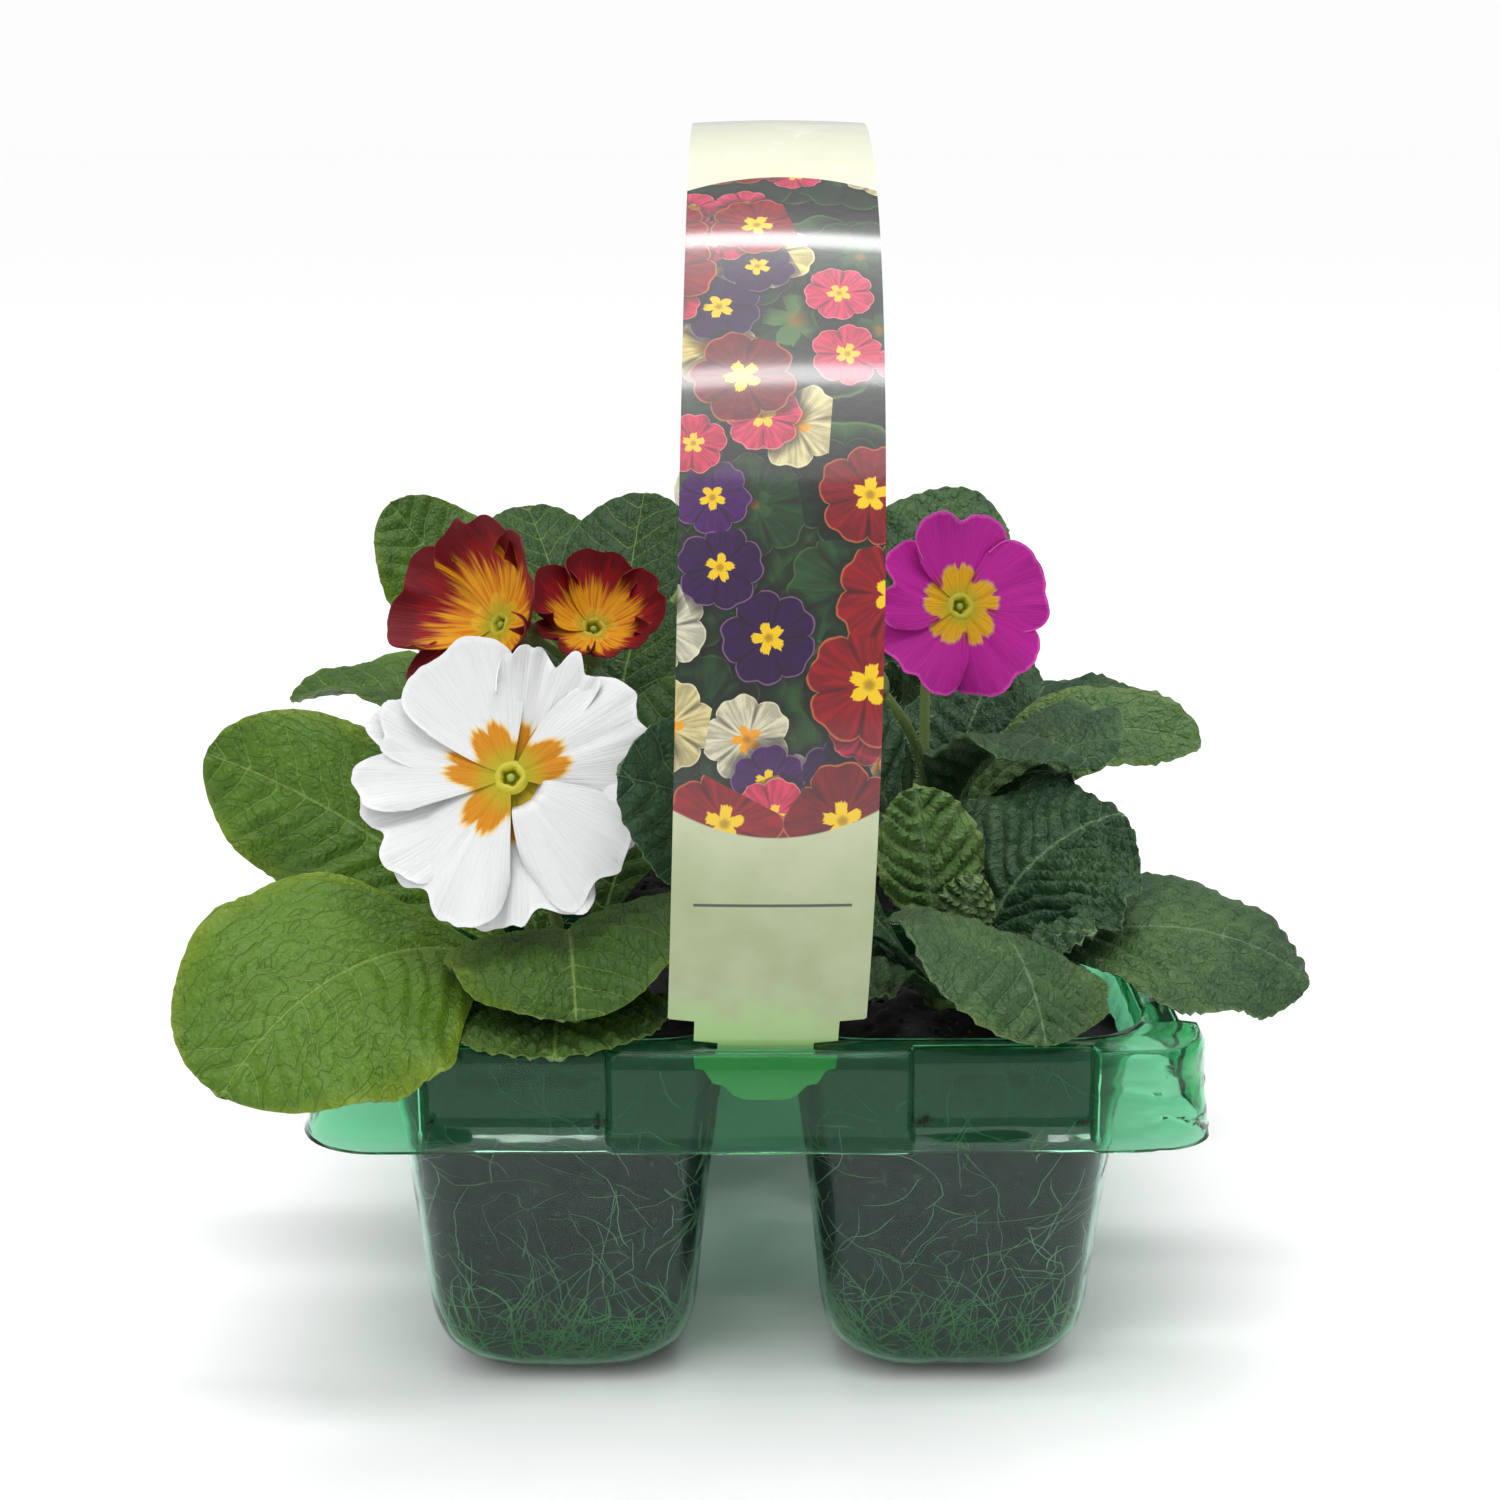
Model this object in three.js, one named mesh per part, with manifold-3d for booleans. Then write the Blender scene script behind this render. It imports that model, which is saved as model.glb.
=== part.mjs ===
// Six primroses in a carry pack: one thermoformed sheet of six cells, a card handle that
// arches over it from front to back, a plug of soil in each cell, and a plant in each plug.
// Millimetres, +Z up, front at -Y. The origin is on the ground under the middle of the pack.
import * as THREE from "three";
import { mergeVertices } from "three/addons/utils/BufferGeometryUtils.js";
import Module from "manifold-3d";

const wasm = await Module();
wasm.setup();

// ---- driving dimensions ----
const CLEAR = 0.3; // gap between pieces that touch
const PACK_WIDTH = 164;
const PACK_DEPTH = 234;
const DECK_HEIGHT = 73.5; // top of the deck above the ground
const SHEET = 0.8; // wall of the moulded sheet
const CELL_PITCH = 74;
const SKIRT_HEIGHT = 18;
const SKIRT_CORNER = 13;
const LIP_FLARE = 1.6; // how far the skirt's lower lip stands out
const PANEL_RECESS = 3;
const SOIL_TOP = DECK_HEIGHT - 4;
const HOLE_RADIUS = 6; // plain hole in the soil for a crown
const HOLE_FLOOR = DECK_HEIGHT - 16;
const CROWN_TOP = DECK_HEIGHT - 1;
const ARCH_HEIGHT = 157.5; // crest of the handle above the deck
const CARD_WIDTH = 34.5;
const CARD_THICKNESS = 0.8;
const SLOT_INSET = 5; // handle slot, behind the skirt's front plane
const LEAF_THICKNESS = 0.8;
const PETAL_THICKNESS = 0.7;
const STALK_RADIUS = 1.1;
const TUBE_RADIUS = 2; // corolla tube
const TUBE_LENGTH = 9;

const WORLD_UP = new THREE.Vector3(0, 0, 1);
const radians = THREE.MathUtils.degToRad;

// ---- solids ----

// Takes an indexed geometry to a manifold, with its shared vertices merged.
function toSolid(geometry) {
  geometry.deleteAttribute("normal");
  geometry.deleteAttribute("uv");
  const merged = mergeVertices(geometry, 1e-4);
  return new wasm.Manifold(new wasm.Mesh({
    numProp: 3,
    vertProperties: new Float32Array(merged.attributes.position.array),
    triVerts: new Uint32Array(merged.index.array),
  }));
}

function toGeometry(solid) {
  const mesh = solid.getMesh();
  const geometry = new THREE.BufferGeometry();
  geometry.setAttribute("position", new THREE.BufferAttribute(mesh.vertProperties, mesh.numProp));
  geometry.setIndex(new THREE.BufferAttribute(mesh.triVerts, 1));
  geometry.computeVertexNormals();
  return geometry;
}

function joined(geometries) {
  return geometries.map(toSolid).reduce((sum, solid) => sum.add(solid));
}

function indexedGeometry(points, triangles) {
  const geometry = new THREE.BufferGeometry().setFromPoints(points);
  geometry.setIndex(triangles);
  return geometry;
}

// A loft through rings of equal count, closed by a flat cap at each end. The rings run
// anticlockwise seen from above, and the first one is the lowest.
function loft(rings) {
  const count = rings[0].length;
  const triangles = [];
  for (let level = 0; level + 1 < rings.length; level++) {
    for (let i = 0; i < count; i++) {
      const a = level * count + i;
      const b = level * count + (i + 1) % count;
      triangles.push(a, b, b + count, a, b + count, a + count);
    }
  }
  const outline = (ring) => ring.map((p) => new THREE.Vector2(p.x, p.y));
  for (const [a, b, c] of THREE.ShapeUtils.triangulateShape(outline(rings[0]), [])) {
    triangles.push(a, c, b);
  }
  const top = (rings.length - 1) * count;
  for (const [a, b, c] of THREE.ShapeUtils.triangulateShape(outline(rings.at(-1)), [])) {
    triangles.push(top + a, top + b, top + c);
  }
  return indexedGeometry(rings.flat(), triangles);
}

// A thin sheet between an upper and a lower grid of points, split into the same triangles on
// both faces and walled along its rim. A wrapped grid joins its last column to its first.
function sheet(upper, lower, wrapped = false) {
  const rows = upper.length;
  const columns = upper[0].length;
  const low = rows * columns;
  const spans = wrapped ? columns : columns - 1;
  const triangles = [];
  const quad = (a, b, c, d) => triangles.push(a, b, c, a, c, d);
  for (let r = 0; r + 1 < rows; r++) {
    for (let c = 0; c < spans; c++) {
      const a = r * columns + c;
      const b = r * columns + (c + 1) % columns;
      quad(a, a + columns, b + columns, b);
      quad(low + b + columns, low + a + columns, low + a, low + b);
    }
  }
  for (let c = 0; c < spans; c++) {
    const next = (c + 1) % columns;
    const last = (rows - 1) * columns;
    quad(c, next, low + next, low + c);
    quad(last + next, last + c, low + last + c, low + last + next);
  }
  if (!wrapped) {
    for (let r = 0; r + 1 < rows; r++) {
      const left = r * columns;
      const right = left + columns - 1;
      quad(left + columns, left, low + left, low + left + columns);
      quad(right, right + columns, low + right + columns, low + right);
    }
  }
  return indexedGeometry([...upper.flat(), ...lower.flat()], triangles);
}

function turnedTo(geometry, origin, axis) {
  const turn = new THREE.Quaternion().setFromUnitVectors(WORLD_UP, axis);
  return geometry.applyQuaternion(turn).translate(origin.x, origin.y, origin.z);
}

function upright(radius, bottom, top, x, y, sides) {
  const geometry = new THREE.CylinderGeometry(radius, radius, top - bottom, sides);
  return geometry.rotateX(Math.PI / 2).translate(x, y, (top + bottom) / 2);
}

// ---- the moulded pack ----

const CELLS = ["front", "middle", "back"].flatMap((row, i) => [
  { name: `${row}_left`, x: -CELL_PITCH / 2, y: (i - 1) * CELL_PITCH },
  { name: `${row}_right`, x: CELL_PITCH / 2, y: (i - 1) * CELL_PITCH },
]);

// A cell's section at each height: half its width, and its corner radius.
const CELL_SECTIONS = [
  { z: 0, half: 13, corner: 9 },
  { z: 2, half: 19, corner: 12 },
  { z: 6, half: 23.2, corner: 13 },
  { z: 12, half: 25, corner: 13 },
  { z: 40, half: 27.8, corner: 13 },
  { z: 67, half: 31.2, corner: 14 },
  { z: DECK_HEIGHT, half: 34.5, corner: 16 },
];
const ARC_STEPS = 3;

function roundedSquare(half, corner, x, y, z) {
  const points = [];
  for (let quarter = 0; quarter < 4; quarter++) {
    const turn = quarter * Math.PI / 2;
    const middle = new THREE.Vector2(half - corner, half - corner).rotateAround(new THREE.Vector2(), turn);
    for (let i = 0; i <= ARC_STEPS; i++) {
      const angle = turn + i / ARC_STEPS * Math.PI / 2;
      points.push(new THREE.Vector3(
        x + middle.x + corner * Math.cos(angle),
        y + middle.y + corner * Math.sin(angle),
        z,
      ));
    }
  }
  return points;
}

// The cell's sections from the ground up, each drawn in by `inset` along the wall's normal.
function insetSections(inset) {
  return CELL_SECTIONS.map((section, i) => {
    const below = CELL_SECTIONS[i - 1] ?? { half: 0, z: 0 };
    const above = CELL_SECTIONS[i + 1] ?? section;
    const normal = new THREE.Vector2(below.z - above.z, above.half - below.half).normalize();
    return {
      z: section.z + inset * normal.y,
      half: section.half + inset * normal.x,
      corner: section.corner + inset * normal.x,
    };
  });
}

function cellLoft(cell, sections) {
  return loft(sections.map(({ z, half, corner }) => roundedSquare(half, corner, cell.x, cell.y, z)));
}

// Recessed panels along a side, each from its start to its end.
const FRONT_PANELS = [[-59, -26.5], [26.5, 59]];
const SIDE_PANELS = [[-99, -50], [-24, 24], [50, 99]];
const PANEL_SLOPE = 1;

// One side of the skirt, from corner to corner along +u, with `depth` of recess.
function skirtSide(panels, depth, inset, out, turn) {
  return panels.flatMap(([start, end]) => [
    [start - inset, out],
    [start - inset + PANEL_SLOPE, out - depth],
    [end + inset - PANEL_SLOPE, out - depth],
    [end + inset, out],
  ]).map(([u, v]) => new THREE.Vector2(u, -v).rotateAround(new THREE.Vector2(), turn));
}

// The skirt's outline at height z, standing `out` beyond the pack's own rectangle.
function skirtRing(z, out, depth, inset) {
  const halfX = PACK_WIDTH / 2 - LIP_FLARE + out;
  const halfY = PACK_DEPTH / 2 - LIP_FLARE + out;
  const corner = SKIRT_CORNER + out;
  const points = [];
  for (let quarter = 0; quarter < 4; quarter++) {
    const turn = quarter * Math.PI / 2;
    const isFront = quarter % 2 === 0;
    const panels = isFront ? FRONT_PANELS : SIDE_PANELS;
    points.push(...skirtSide(panels, depth, inset, isFront ? halfY : halfX, turn));
    const middleX = (quarter === 0 || quarter === 1 ? 1 : -1) * (halfX - corner);
    const middleY = (quarter === 0 || quarter === 3 ? -1 : 1) * (halfY - corner);
    for (let i = 0; i <= ARC_STEPS; i++) {
      const angle = turn - Math.PI / 2 + i / ARC_STEPS * Math.PI / 2;
      points.push(new THREE.Vector2(
        middleX + corner * Math.cos(angle),
        middleY + corner * Math.sin(angle),
      ));
    }
  }
  return points.map((p) => new THREE.Vector3(p.x, p.y, z));
}

// The skirt's profile from its lip up to the deck: height, how far out, depth of the panels,
// and how far the sheet's inner face lies below the outer one.
const SKIRT_PROFILE = [
  { z: DECK_HEIGHT - SKIRT_HEIGHT, out: LIP_FLARE, depth: 0, drop: 1 },
  { z: DECK_HEIGHT - SKIRT_HEIGHT + 1.4, out: 0.8, depth: 0, drop: SHEET / 2 },
  { z: DECK_HEIGHT - SKIRT_HEIGHT + 3.6, out: 0.4, depth: PANEL_RECESS, drop: SHEET / 2 },
  { z: DECK_HEIGHT - 2, out: 0, depth: PANEL_RECESS, drop: SHEET / 2 },
  { z: DECK_HEIGHT, out: -1.6, depth: PANEL_RECESS, drop: SHEET },
];
const DRAIN_RADIUS = 3;
const DRAIN_SIDES = 8;
const SLOT_LENGTH = 17.4;
const SLOT_GAP = 1.6;

function carryPack() {
  const skirtOuter = loft(SKIRT_PROFILE.map((p) => skirtRing(p.z, p.out, p.depth, 0)));
  const skirtInner = loft(SKIRT_PROFILE.map((p) => skirtRing(
    p.z - p.drop,
    p.out - SHEET,
    p.depth,
    SHEET,
  )));
  let pack = toSolid(skirtOuter).subtract(toSolid(skirtInner));
  const body = insetSections(0);
  body.at(-1).z = DECK_HEIGHT - SHEET / 2;
  const hollow = insetSections(SHEET);
  hollow.push({ ...hollow.at(-1), z: DECK_HEIGHT + SHEET });
  for (const cell of CELLS) {
    pack = pack.add(toSolid(cellLoft(cell, body)));
  }
  for (const cell of CELLS) {
    pack = pack.subtract(toSolid(cellLoft(cell, hollow)));
    pack = pack.subtract(toSolid(upright(DRAIN_RADIUS, -1, 2 * SHEET, cell.x, cell.y, DRAIN_SIDES)));
  }
  for (const side of [-1, 1]) {
    const slot = new THREE.BoxGeometry(SLOT_LENGTH, SLOT_GAP, 4 * SHEET);
    slot.translate(FOOT_LEAN, side * (PACK_DEPTH / 2 - SLOT_INSET), DECK_HEIGHT);
    pack = pack.subtract(toSolid(slot));
  }
  return toGeometry(pack);
}

// ---- the card handle ----

const FOOT_LEAN = 1; // the handle stands a little to the right, and leans on that way
const CREST_LEAN = 3.4;

// Half of the arch, from the slot up to the crest, in the plane of depth and height.
const halfArch = new THREE.CubicBezierCurve(
  new THREE.Vector2(SLOT_INSET, 0),
  new THREE.Vector2(-24, 78),
  new THREE.Vector2(22, ARCH_HEIGHT),
  new THREE.Vector2(PACK_DEPTH / 2, ARCH_HEIGHT),
);

// The card's half width at each distance from the slot, up to where its sides run straight:
// the rounded tab under the deck, its barbs, the notch in the slot, the neck, the shoulders.
const TAB_OUTLINE = [
  [-12, 3], [-11, 5.6], [-8.6, 7.4], [-8.2, 9.2], [-5, 10.8], [-4.6, 12.4], [-1.8, 12.6],
  [-1.3, 8.4], [1.2, 8.4], [1.7, 12.6], [6, 12.6], [6.5, CARD_WIDTH / 2],
];
const ARCH_STEPS = 14;

// The card's centre line and its outward direction, at a distance along half of the arch.
// Below the slot it runs straight on.
function archPoint(distance) {
  const length = halfArch.getLength();
  const s = Math.max(distance, 0) / length;
  const at = halfArch.getPointAt(s);
  const along = halfArch.getTangentAt(s);
  at.addScaledVector(along, Math.min(distance, 0));
  const lean = FOOT_LEAN + CREST_LEAN * (1 - (1 - s) ** 3);
  return {
    place: new THREE.Vector3(lean, at.x - PACK_DEPTH / 2, DECK_HEIGHT + at.y),
    outward: new THREE.Vector3(0, -along.y, along.x),
  };
}

function cardHandle() {
  const length = halfArch.getLength();
  const straight = TAB_OUTLINE.at(-1)[0];
  const half = [...TAB_OUTLINE];
  for (let i = 1; i <= ARCH_STEPS; i++) {
    half.push([THREE.MathUtils.lerp(straight, length, i / ARCH_STEPS), CARD_WIDTH / 2]);
  }
  const row = ([distance, halfWidth], side, mirrored) => {
    const { place, outward } = archPoint(distance);
    const points = [halfWidth, -halfWidth].map((x) => new THREE.Vector3(x, 0, 0)
      .add(place).addScaledVector(outward, side * CARD_THICKNESS / 2));
    return mirrored ? points.map((p) => p.setY(-p.y)) : points;
  };
  const face = (side) => [
    ...half.map((station) => row(station, side, false)),
    ...half.slice(0, -1).reverse().map((station) => row(station, side, true)),
  ];
  return sheet(face(1), face(-1));
}

// ---- soil ----

const SOIL_DOME = [{ z: SOIL_TOP - 1.3, share: 0.86 }, { z: SOIL_TOP, share: 0.5 }];

function soilPlug(cell) {
  const sections = insetSections(SHEET + CLEAR).filter((section) => section.z < SOIL_DOME[0].z);
  const rim = sections.at(-1);
  for (const { z, share } of SOIL_DOME) {
    sections.push({ z, half: rim.half * share, corner: rim.corner * share });
  }
  const hole = upright(HOLE_RADIUS, HOLE_FLOOR, DECK_HEIGHT, cell.x, cell.y, CROWN_SIDES);
  return toGeometry(toSolid(cellLoft(cell, sections)).subtract(toSolid(hole)));
}

// ---- leaves ----

const CROWN_SIDES = 10;
const LEAF_ROWS = 8;
const BROAD_LEAF = 36; // leaves at least this wide have five points across, others three
const BROAD_COLUMNS = [-1, -0.55, 0, 0.55, 1];
const NARROW_COLUMNS = [-1, 0, 1];
const LEAF_START = 4; // from the crown's middle
const PETIOLE_END = 0.15; // fractions of a leaf's length
const WIDEST = 0.62;
const PETIOLE_SHARE = 0.15; // its half width there, as a share of the blade's
const ROLL_END = 0.45;
const SCALLOP = 0.04;
const RUFFLE = 0.06;

// A leaf's midrib starts at the crown and climbs at `rise` degrees, which changes evenly to
// `fall` at its tip. `heading` is its compass direction, and `roll` turns the blade about the
// midrib. The half width eases from a winged stalk to its widest and ends in an ellipse. The
// two halves of the blade fold up by `fold` degrees, and the margin is scalloped and ruffled.
function leafSolid(cell, leaf) {
  const { heading, length, width, rise, fall, roll, fold } = leaf;
  const yaw = radians(heading);
  const ahead = new THREE.Vector3(Math.cos(yaw), Math.sin(yaw), 0);
  const level = new THREE.Vector3(-Math.sin(yaw), Math.cos(yaw), 0);
  const place = new THREE.Vector3(cell.x, cell.y, CROWN_TOP - 2).addScaledVector(ahead, LEAF_START);
  const columns = width >= BROAD_LEAF ? BROAD_COLUMNS : NARROW_COLUMNS;
  const upper = [];
  const lower = [];
  for (let r = 0; r < LEAF_ROWS; r++) {
    const s = r / (LEAF_ROWS - 1);
    const climb = radians(rise + (fall - rise) * s);
    const along = ahead.clone().multiplyScalar(Math.cos(climb)).addScaledVector(WORLD_UP, Math.sin(climb));
    if (r > 0) {
      const before = radians(rise + (fall - rise) * (s - 0.5 / (LEAF_ROWS - 1)));
      place.addScaledVector(ahead, Math.cos(before) * length / (LEAF_ROWS - 1));
      place.z += Math.sin(before) * length / (LEAF_ROWS - 1);
    }
    const turn = radians(roll) * eased(s / ROLL_END);
    const side = level.clone().applyAxisAngle(along, turn);
    const normal = along.clone().cross(side);
    const grown = PETIOLE_SHARE + (1 - PETIOLE_SHARE) * eased((s - PETIOLE_END) / (WIDEST - PETIOLE_END));
    const beyond = Math.max(s - WIDEST, 0) / (1.02 - WIDEST);
    const odd = r % 2 === 0 ? 1 : -1;
    const half = width / 2 * grown * Math.sqrt(1 - beyond ** 2) * (1 + odd * SCALLOP * grown);
    const point = (u, offset) => {
      const lift = Math.abs(u) * Math.sin(radians(fold)) + odd * RUFFLE * grown * u ** 4 * Math.sign(u);
      return place.clone()
        .addScaledVector(side, half * u * Math.cos(radians(fold)))
        .addScaledVector(normal, half * lift + offset);
    };
    upper.push(columns.map((u) => point(u, LEAF_THICKNESS / 2)));
    lower.push(columns.map((u) => point(u, -LEAF_THICKNESS / 2)));
  }
  return sheet(upper, lower);
}

function eased(x) {
  return 0.5 - 0.5 * Math.cos(Math.PI * THREE.MathUtils.clamp(x, 0, 1));
}

// ---- flowers ----

const PETALS = 5;
const STEPS_PER_PETAL = 5;
const PETAL_RINGS = [0.6, 1]; // shares of the radius, out from the tube
const NOTCH = 0.16; // depth of the cleft between petals, as a share of the radius
const HEART = 0.07; // depth of the notch in a petal's own edge
const INNER_LIFT = 3; // a double flower has a second whorl this far above the first
const INNER_SHARE = 0.86;
const TUBE_SIDES = 8;
const OVERLAP = 1.1; // each petal's leading edge rides this far over the next one's
const CALYX_WALL = 1;
const CALYX_RIM = -3.5; // below the flower's eye
const CALYX_TAPER = 3;
const BUD_RADIUS = 2.8;
const BUD_HALF_LENGTH = 6;
const BUD_SEAT = 4; // a bud's stalk ends this far below its middle

function bloomAxis(bloom) {
  const yaw = radians(bloom.faces);
  const tilt = radians(bloom.tilt);
  return new THREE.Vector3(Math.cos(tilt) * Math.cos(yaw), Math.cos(tilt) * Math.sin(yaw), Math.sin(tilt));
}

// One whorl of five petals, grown together at the throat. Round the flower, the radius dips
// between petals and a little in the middle of each one, and each petal leans so that one
// edge rides over its neighbour. Outwards, the surface rises by `cup` of the radius.
function whorl(bloom, radius, turn, lift) {
  const rings = [0.75 * TUBE_RADIUS / radius, ...PETAL_RINGS];
  const face = (offset) => rings.map((reach) => {
    const ring = [];
    for (let i = 0; i < PETALS * STEPS_PER_PETAL; i++) {
      const angle = (i + turn * STEPS_PER_PETAL) / (PETALS * STEPS_PER_PETAL) * 2 * Math.PI;
      const across = (i % STEPS_PER_PETAL) / (STEPS_PER_PETAL - 1) * 2 - 1;
      const edge = 1 - NOTCH * across ** 4 - HEART * Math.exp(-12 * across ** 2);
      const out = radius * reach * (1 + (edge - 1) * reach ** 2);
      const height = lift + bloom.cup * radius * reach ** 2 + OVERLAP * across * reach;
      ring.push(new THREE.Vector3(out * Math.cos(angle), out * Math.sin(angle), height + offset));
    }
    return ring;
  });
  return sheet(face(PETAL_THICKNESS / 2), face(-PETAL_THICKNESS / 2), true);
}

function corolla(bloom) {
  const height = bloom.double ? INNER_LIFT + PETAL_THICKNESS : PETAL_THICKNESS;
  const parts = [
    upright(TUBE_RADIUS, -TUBE_LENGTH, height, 0, 0, TUBE_SIDES),
    whorl(bloom, bloom.radius, 0, 0),
  ];
  if (bloom.double) {
    parts.push(whorl(bloom, INNER_SHARE * bloom.radius, 0.5, INNER_LIFT));
  }
  return turnedTo(toGeometry(joined(parts)), bloom.eye, bloomAxis(bloom));
}

// A calyx is a green cup with a plain hole, in which the corolla's tube stands.
function calyx(bloom) {
  const inner = TUBE_RADIUS + CLEAR;
  const floor = -TUBE_LENGTH - CLEAR;
  const profile = [
    [0, floor - CALYX_TAPER],
    [STALK_RADIUS, floor - CALYX_TAPER],
    [inner + CALYX_WALL / 2, floor],
    [inner + CALYX_WALL, CALYX_RIM],
    [inner, CALYX_RIM],
    [inner, floor],
    [0, floor],
  ].map(([radius, height]) => new THREE.Vector2(radius, height));
  const cup = new THREE.LatheGeometry(profile, TUBE_SIDES).rotateX(Math.PI / 2);
  return turnedTo(cup, bloom.eye, bloomAxis(bloom));
}

// A flower stalk leaves the crown upwards and meets the calyx or bud along its axis.
function stalk(cell, end, axis) {
  const start = new THREE.Vector3(cell.x, cell.y, CROWN_TOP - 3);
  const reach = start.distanceTo(end);
  const path = new THREE.CubicBezierCurve3(
    start,
    start.clone().addScaledVector(WORLD_UP, 0.45 * reach),
    end.clone().addScaledVector(axis, -0.35 * reach),
    end,
  );
  const section = new THREE.Shape().absarc(0, 0, STALK_RADIUS, 0, 2 * Math.PI);
  return new THREE.ExtrudeGeometry(section, { steps: 5, extrudePath: path, curveSegments: 3 });
}

function bud(place, axis) {
  const shape = new THREE.SphereGeometry(1, 7, 5).rotateX(Math.PI / 2);
  shape.scale(BUD_RADIUS, BUD_RADIUS, BUD_HALF_LENGTH);
  return turnedTo(shape, place, axis);
}

// ---- planting plan ----

// Each row: heading, length, width, rise, fall, roll, fold.
const LEAVES = {
  front_left: [
    [168, 80, 36, 50, 16, -66, 1],
    [224, 82, 54, 51, -51, -29, 0],
    [277, 54, 46, 84, -55, 12, 8],
    [272, 42, 42, 34, -23, 2, 2],
    [30, 64, 28, 74, 58, 20, 8],
    [130, 56, 30, 70, 40, 0, 8],
    [340, 44, 28, 55, 5, 20, 8],
    [300, 40, 26, 62, 0, 10, 8],
  ],
  front_right: [
    [120, 38, 24, 80, 70, -10, 16],
    [20, 48, 46, 86, 6, 20, 0],
    [-2, 69, 46, 44, -38, 16, -3],
    [284, 60, 46, 80, -62, -24, -4],
    [285, 25, 13, 88, 80, 0, 12],
    [330, 30, 20, 60, 10, 20, 8],
    [215, 44, 30, 50, -20, -20, 8],
    [213, 88, 36, 57, 18, -80, -3],
  ],
  middle_left: [
    [179, 82, 35, 86, -18, -4, 18],
    [235, 58, 34, 72, 15, -20, 8],
    [130, 58, 34, 70, 30, 0, 8],
    [70, 66, 36, 76, 46, 0, 8],
    [320, 52, 30, 66, 20, 20, 8],
    [275, 46, 30, 68, 10, 0, 8],
  ],
  middle_right: [
    [298, 80, 37, 88, -20, 8, 14],
    [-10, 73, 24, 84, -22, 40, 9],
    [215, 50, 32, 70, 10, -20, 8],
    [290, 58, 36, 65, -10, 20, 8],
    [140, 62, 34, 72, 36, 0, 8],
    [60, 58, 32, 72, 30, 0, 8],
  ],
  back_left: [
    [165, 86, 38, 60, 48, -45, 8],
    [112, 86, 42, 67, 29, 0, 8],
    [80, 82, 40, 72, 40, 0, 8],
    [200, 54, 32, 40, -10, -20, 8],
    [255, 54, 32, 78, 30, 0, 8],
    [325, 52, 32, 65, 20, 20, 8],
  ],
  back_right: [
    [74, 86, 42, 74, 34, 0, 8],
    [15, 72, 36, 38, -14, 15, 8],
    [330, 62, 34, 50, 5, 20, 8],
    [104, 56, 34, 62, 20, 0, 8],
    [265, 52, 32, 72, 30, 0, 8],
    [200, 48, 30, 58, 10, -20, 8],
  ],
};

// Each bloom's eye is given across, along and above the deck.
const BLOOMS = [
  {
    name: "white", cell: "front_left", eye: [-43.5, -99, 45], faces: 270, tilt: 30,
    radius: 29, cup: 0.1, double: true, colour: 0xe6e6ea,
  },
  {
    name: "crimson_left", cell: "middle_left", eye: [-53, -18, 57], faces: 225, tilt: 25,
    radius: 22, cup: 0.65, colour: 0x8a0a1e,
  },
  {
    name: "crimson_right", cell: "middle_left", eye: [-34, -12, 55], faces: 278, tilt: 48,
    radius: 14.5, cup: 0.6, colour: 0x8a0a1e,
  },
  {
    name: "magenta", cell: "middle_right", eye: [42, -17, 60.5], faces: 283, tilt: 18,
    radius: 20.5, cup: 0.1, colour: 0xbe28a0,
  },
  {
    name: "cream", cell: "back_left", eye: [-6, 51, 75], faces: 270, tilt: 30,
    radius: 14, cup: 0.1, colour: 0xe8e4cc,
  },
  {
    name: "yellow", cell: "back_right", eye: [12, 97, 69], faces: 80, tilt: 35,
    radius: 15, cup: 0.15, colour: 0xe8d040,
  },
];

const BUDS = [
  { cell: "middle_right", tip: [23, -22, 47], faces: 200, tilt: 50 },
];

function aboveDeck([x, y, height]) {
  return new THREE.Vector3(x, y, DECK_HEIGHT + height);
}

function plant(cell) {
  const parts = [upright(HOLE_RADIUS - CLEAR, HOLE_FLOOR + CLEAR, CROWN_TOP, cell.x, cell.y, CROWN_SIDES)];
  for (const [heading, length, width, rise, fall, roll, fold] of LEAVES[cell.name]) {
    parts.push(leafSolid(cell, { heading, length, width, rise, fall, roll, fold }));
  }
  for (const bloom of BLOOMS.filter((one) => one.cell === cell.name)) {
    const axis = bloomAxis(bloom);
    const seat = bloom.eye.clone().addScaledVector(axis, -TUBE_LENGTH - CALYX_TAPER + 1);
    parts.push(calyx(bloom), stalk(cell, seat, axis));
  }
  for (const one of BUDS.filter((each) => each.cell === cell.name)) {
    const axis = bloomAxis(one);
    const place = aboveDeck(one.tip);
    parts.push(bud(place, axis), stalk(cell, place.clone().addScaledVector(axis, -BUD_SEAT), axis));
  }
  return toGeometry(joined(parts));
}

// ---- the assembly ----

const MATERIALS = {
  sheet: { color: 0x70be8c, roughness: 0.2, transparent: true, opacity: 0.55 },
  card: { color: 0xdadfae, roughness: 0.35 },
  soil: { color: 0x241a12, roughness: 0.95 },
  leaf_light: { color: 0x5f8a38, roughness: 0.6 },
  leaf_dark: { color: 0x40683f, roughness: 0.6 },
};

const primroses = new THREE.Group();

function addPiece(name, geometry, material) {
  const mesh = new THREE.Mesh(geometry, new THREE.MeshStandardMaterial({ metalness: 0, ...material }));
  mesh.name = name;
  primroses.add(mesh);
}

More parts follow.
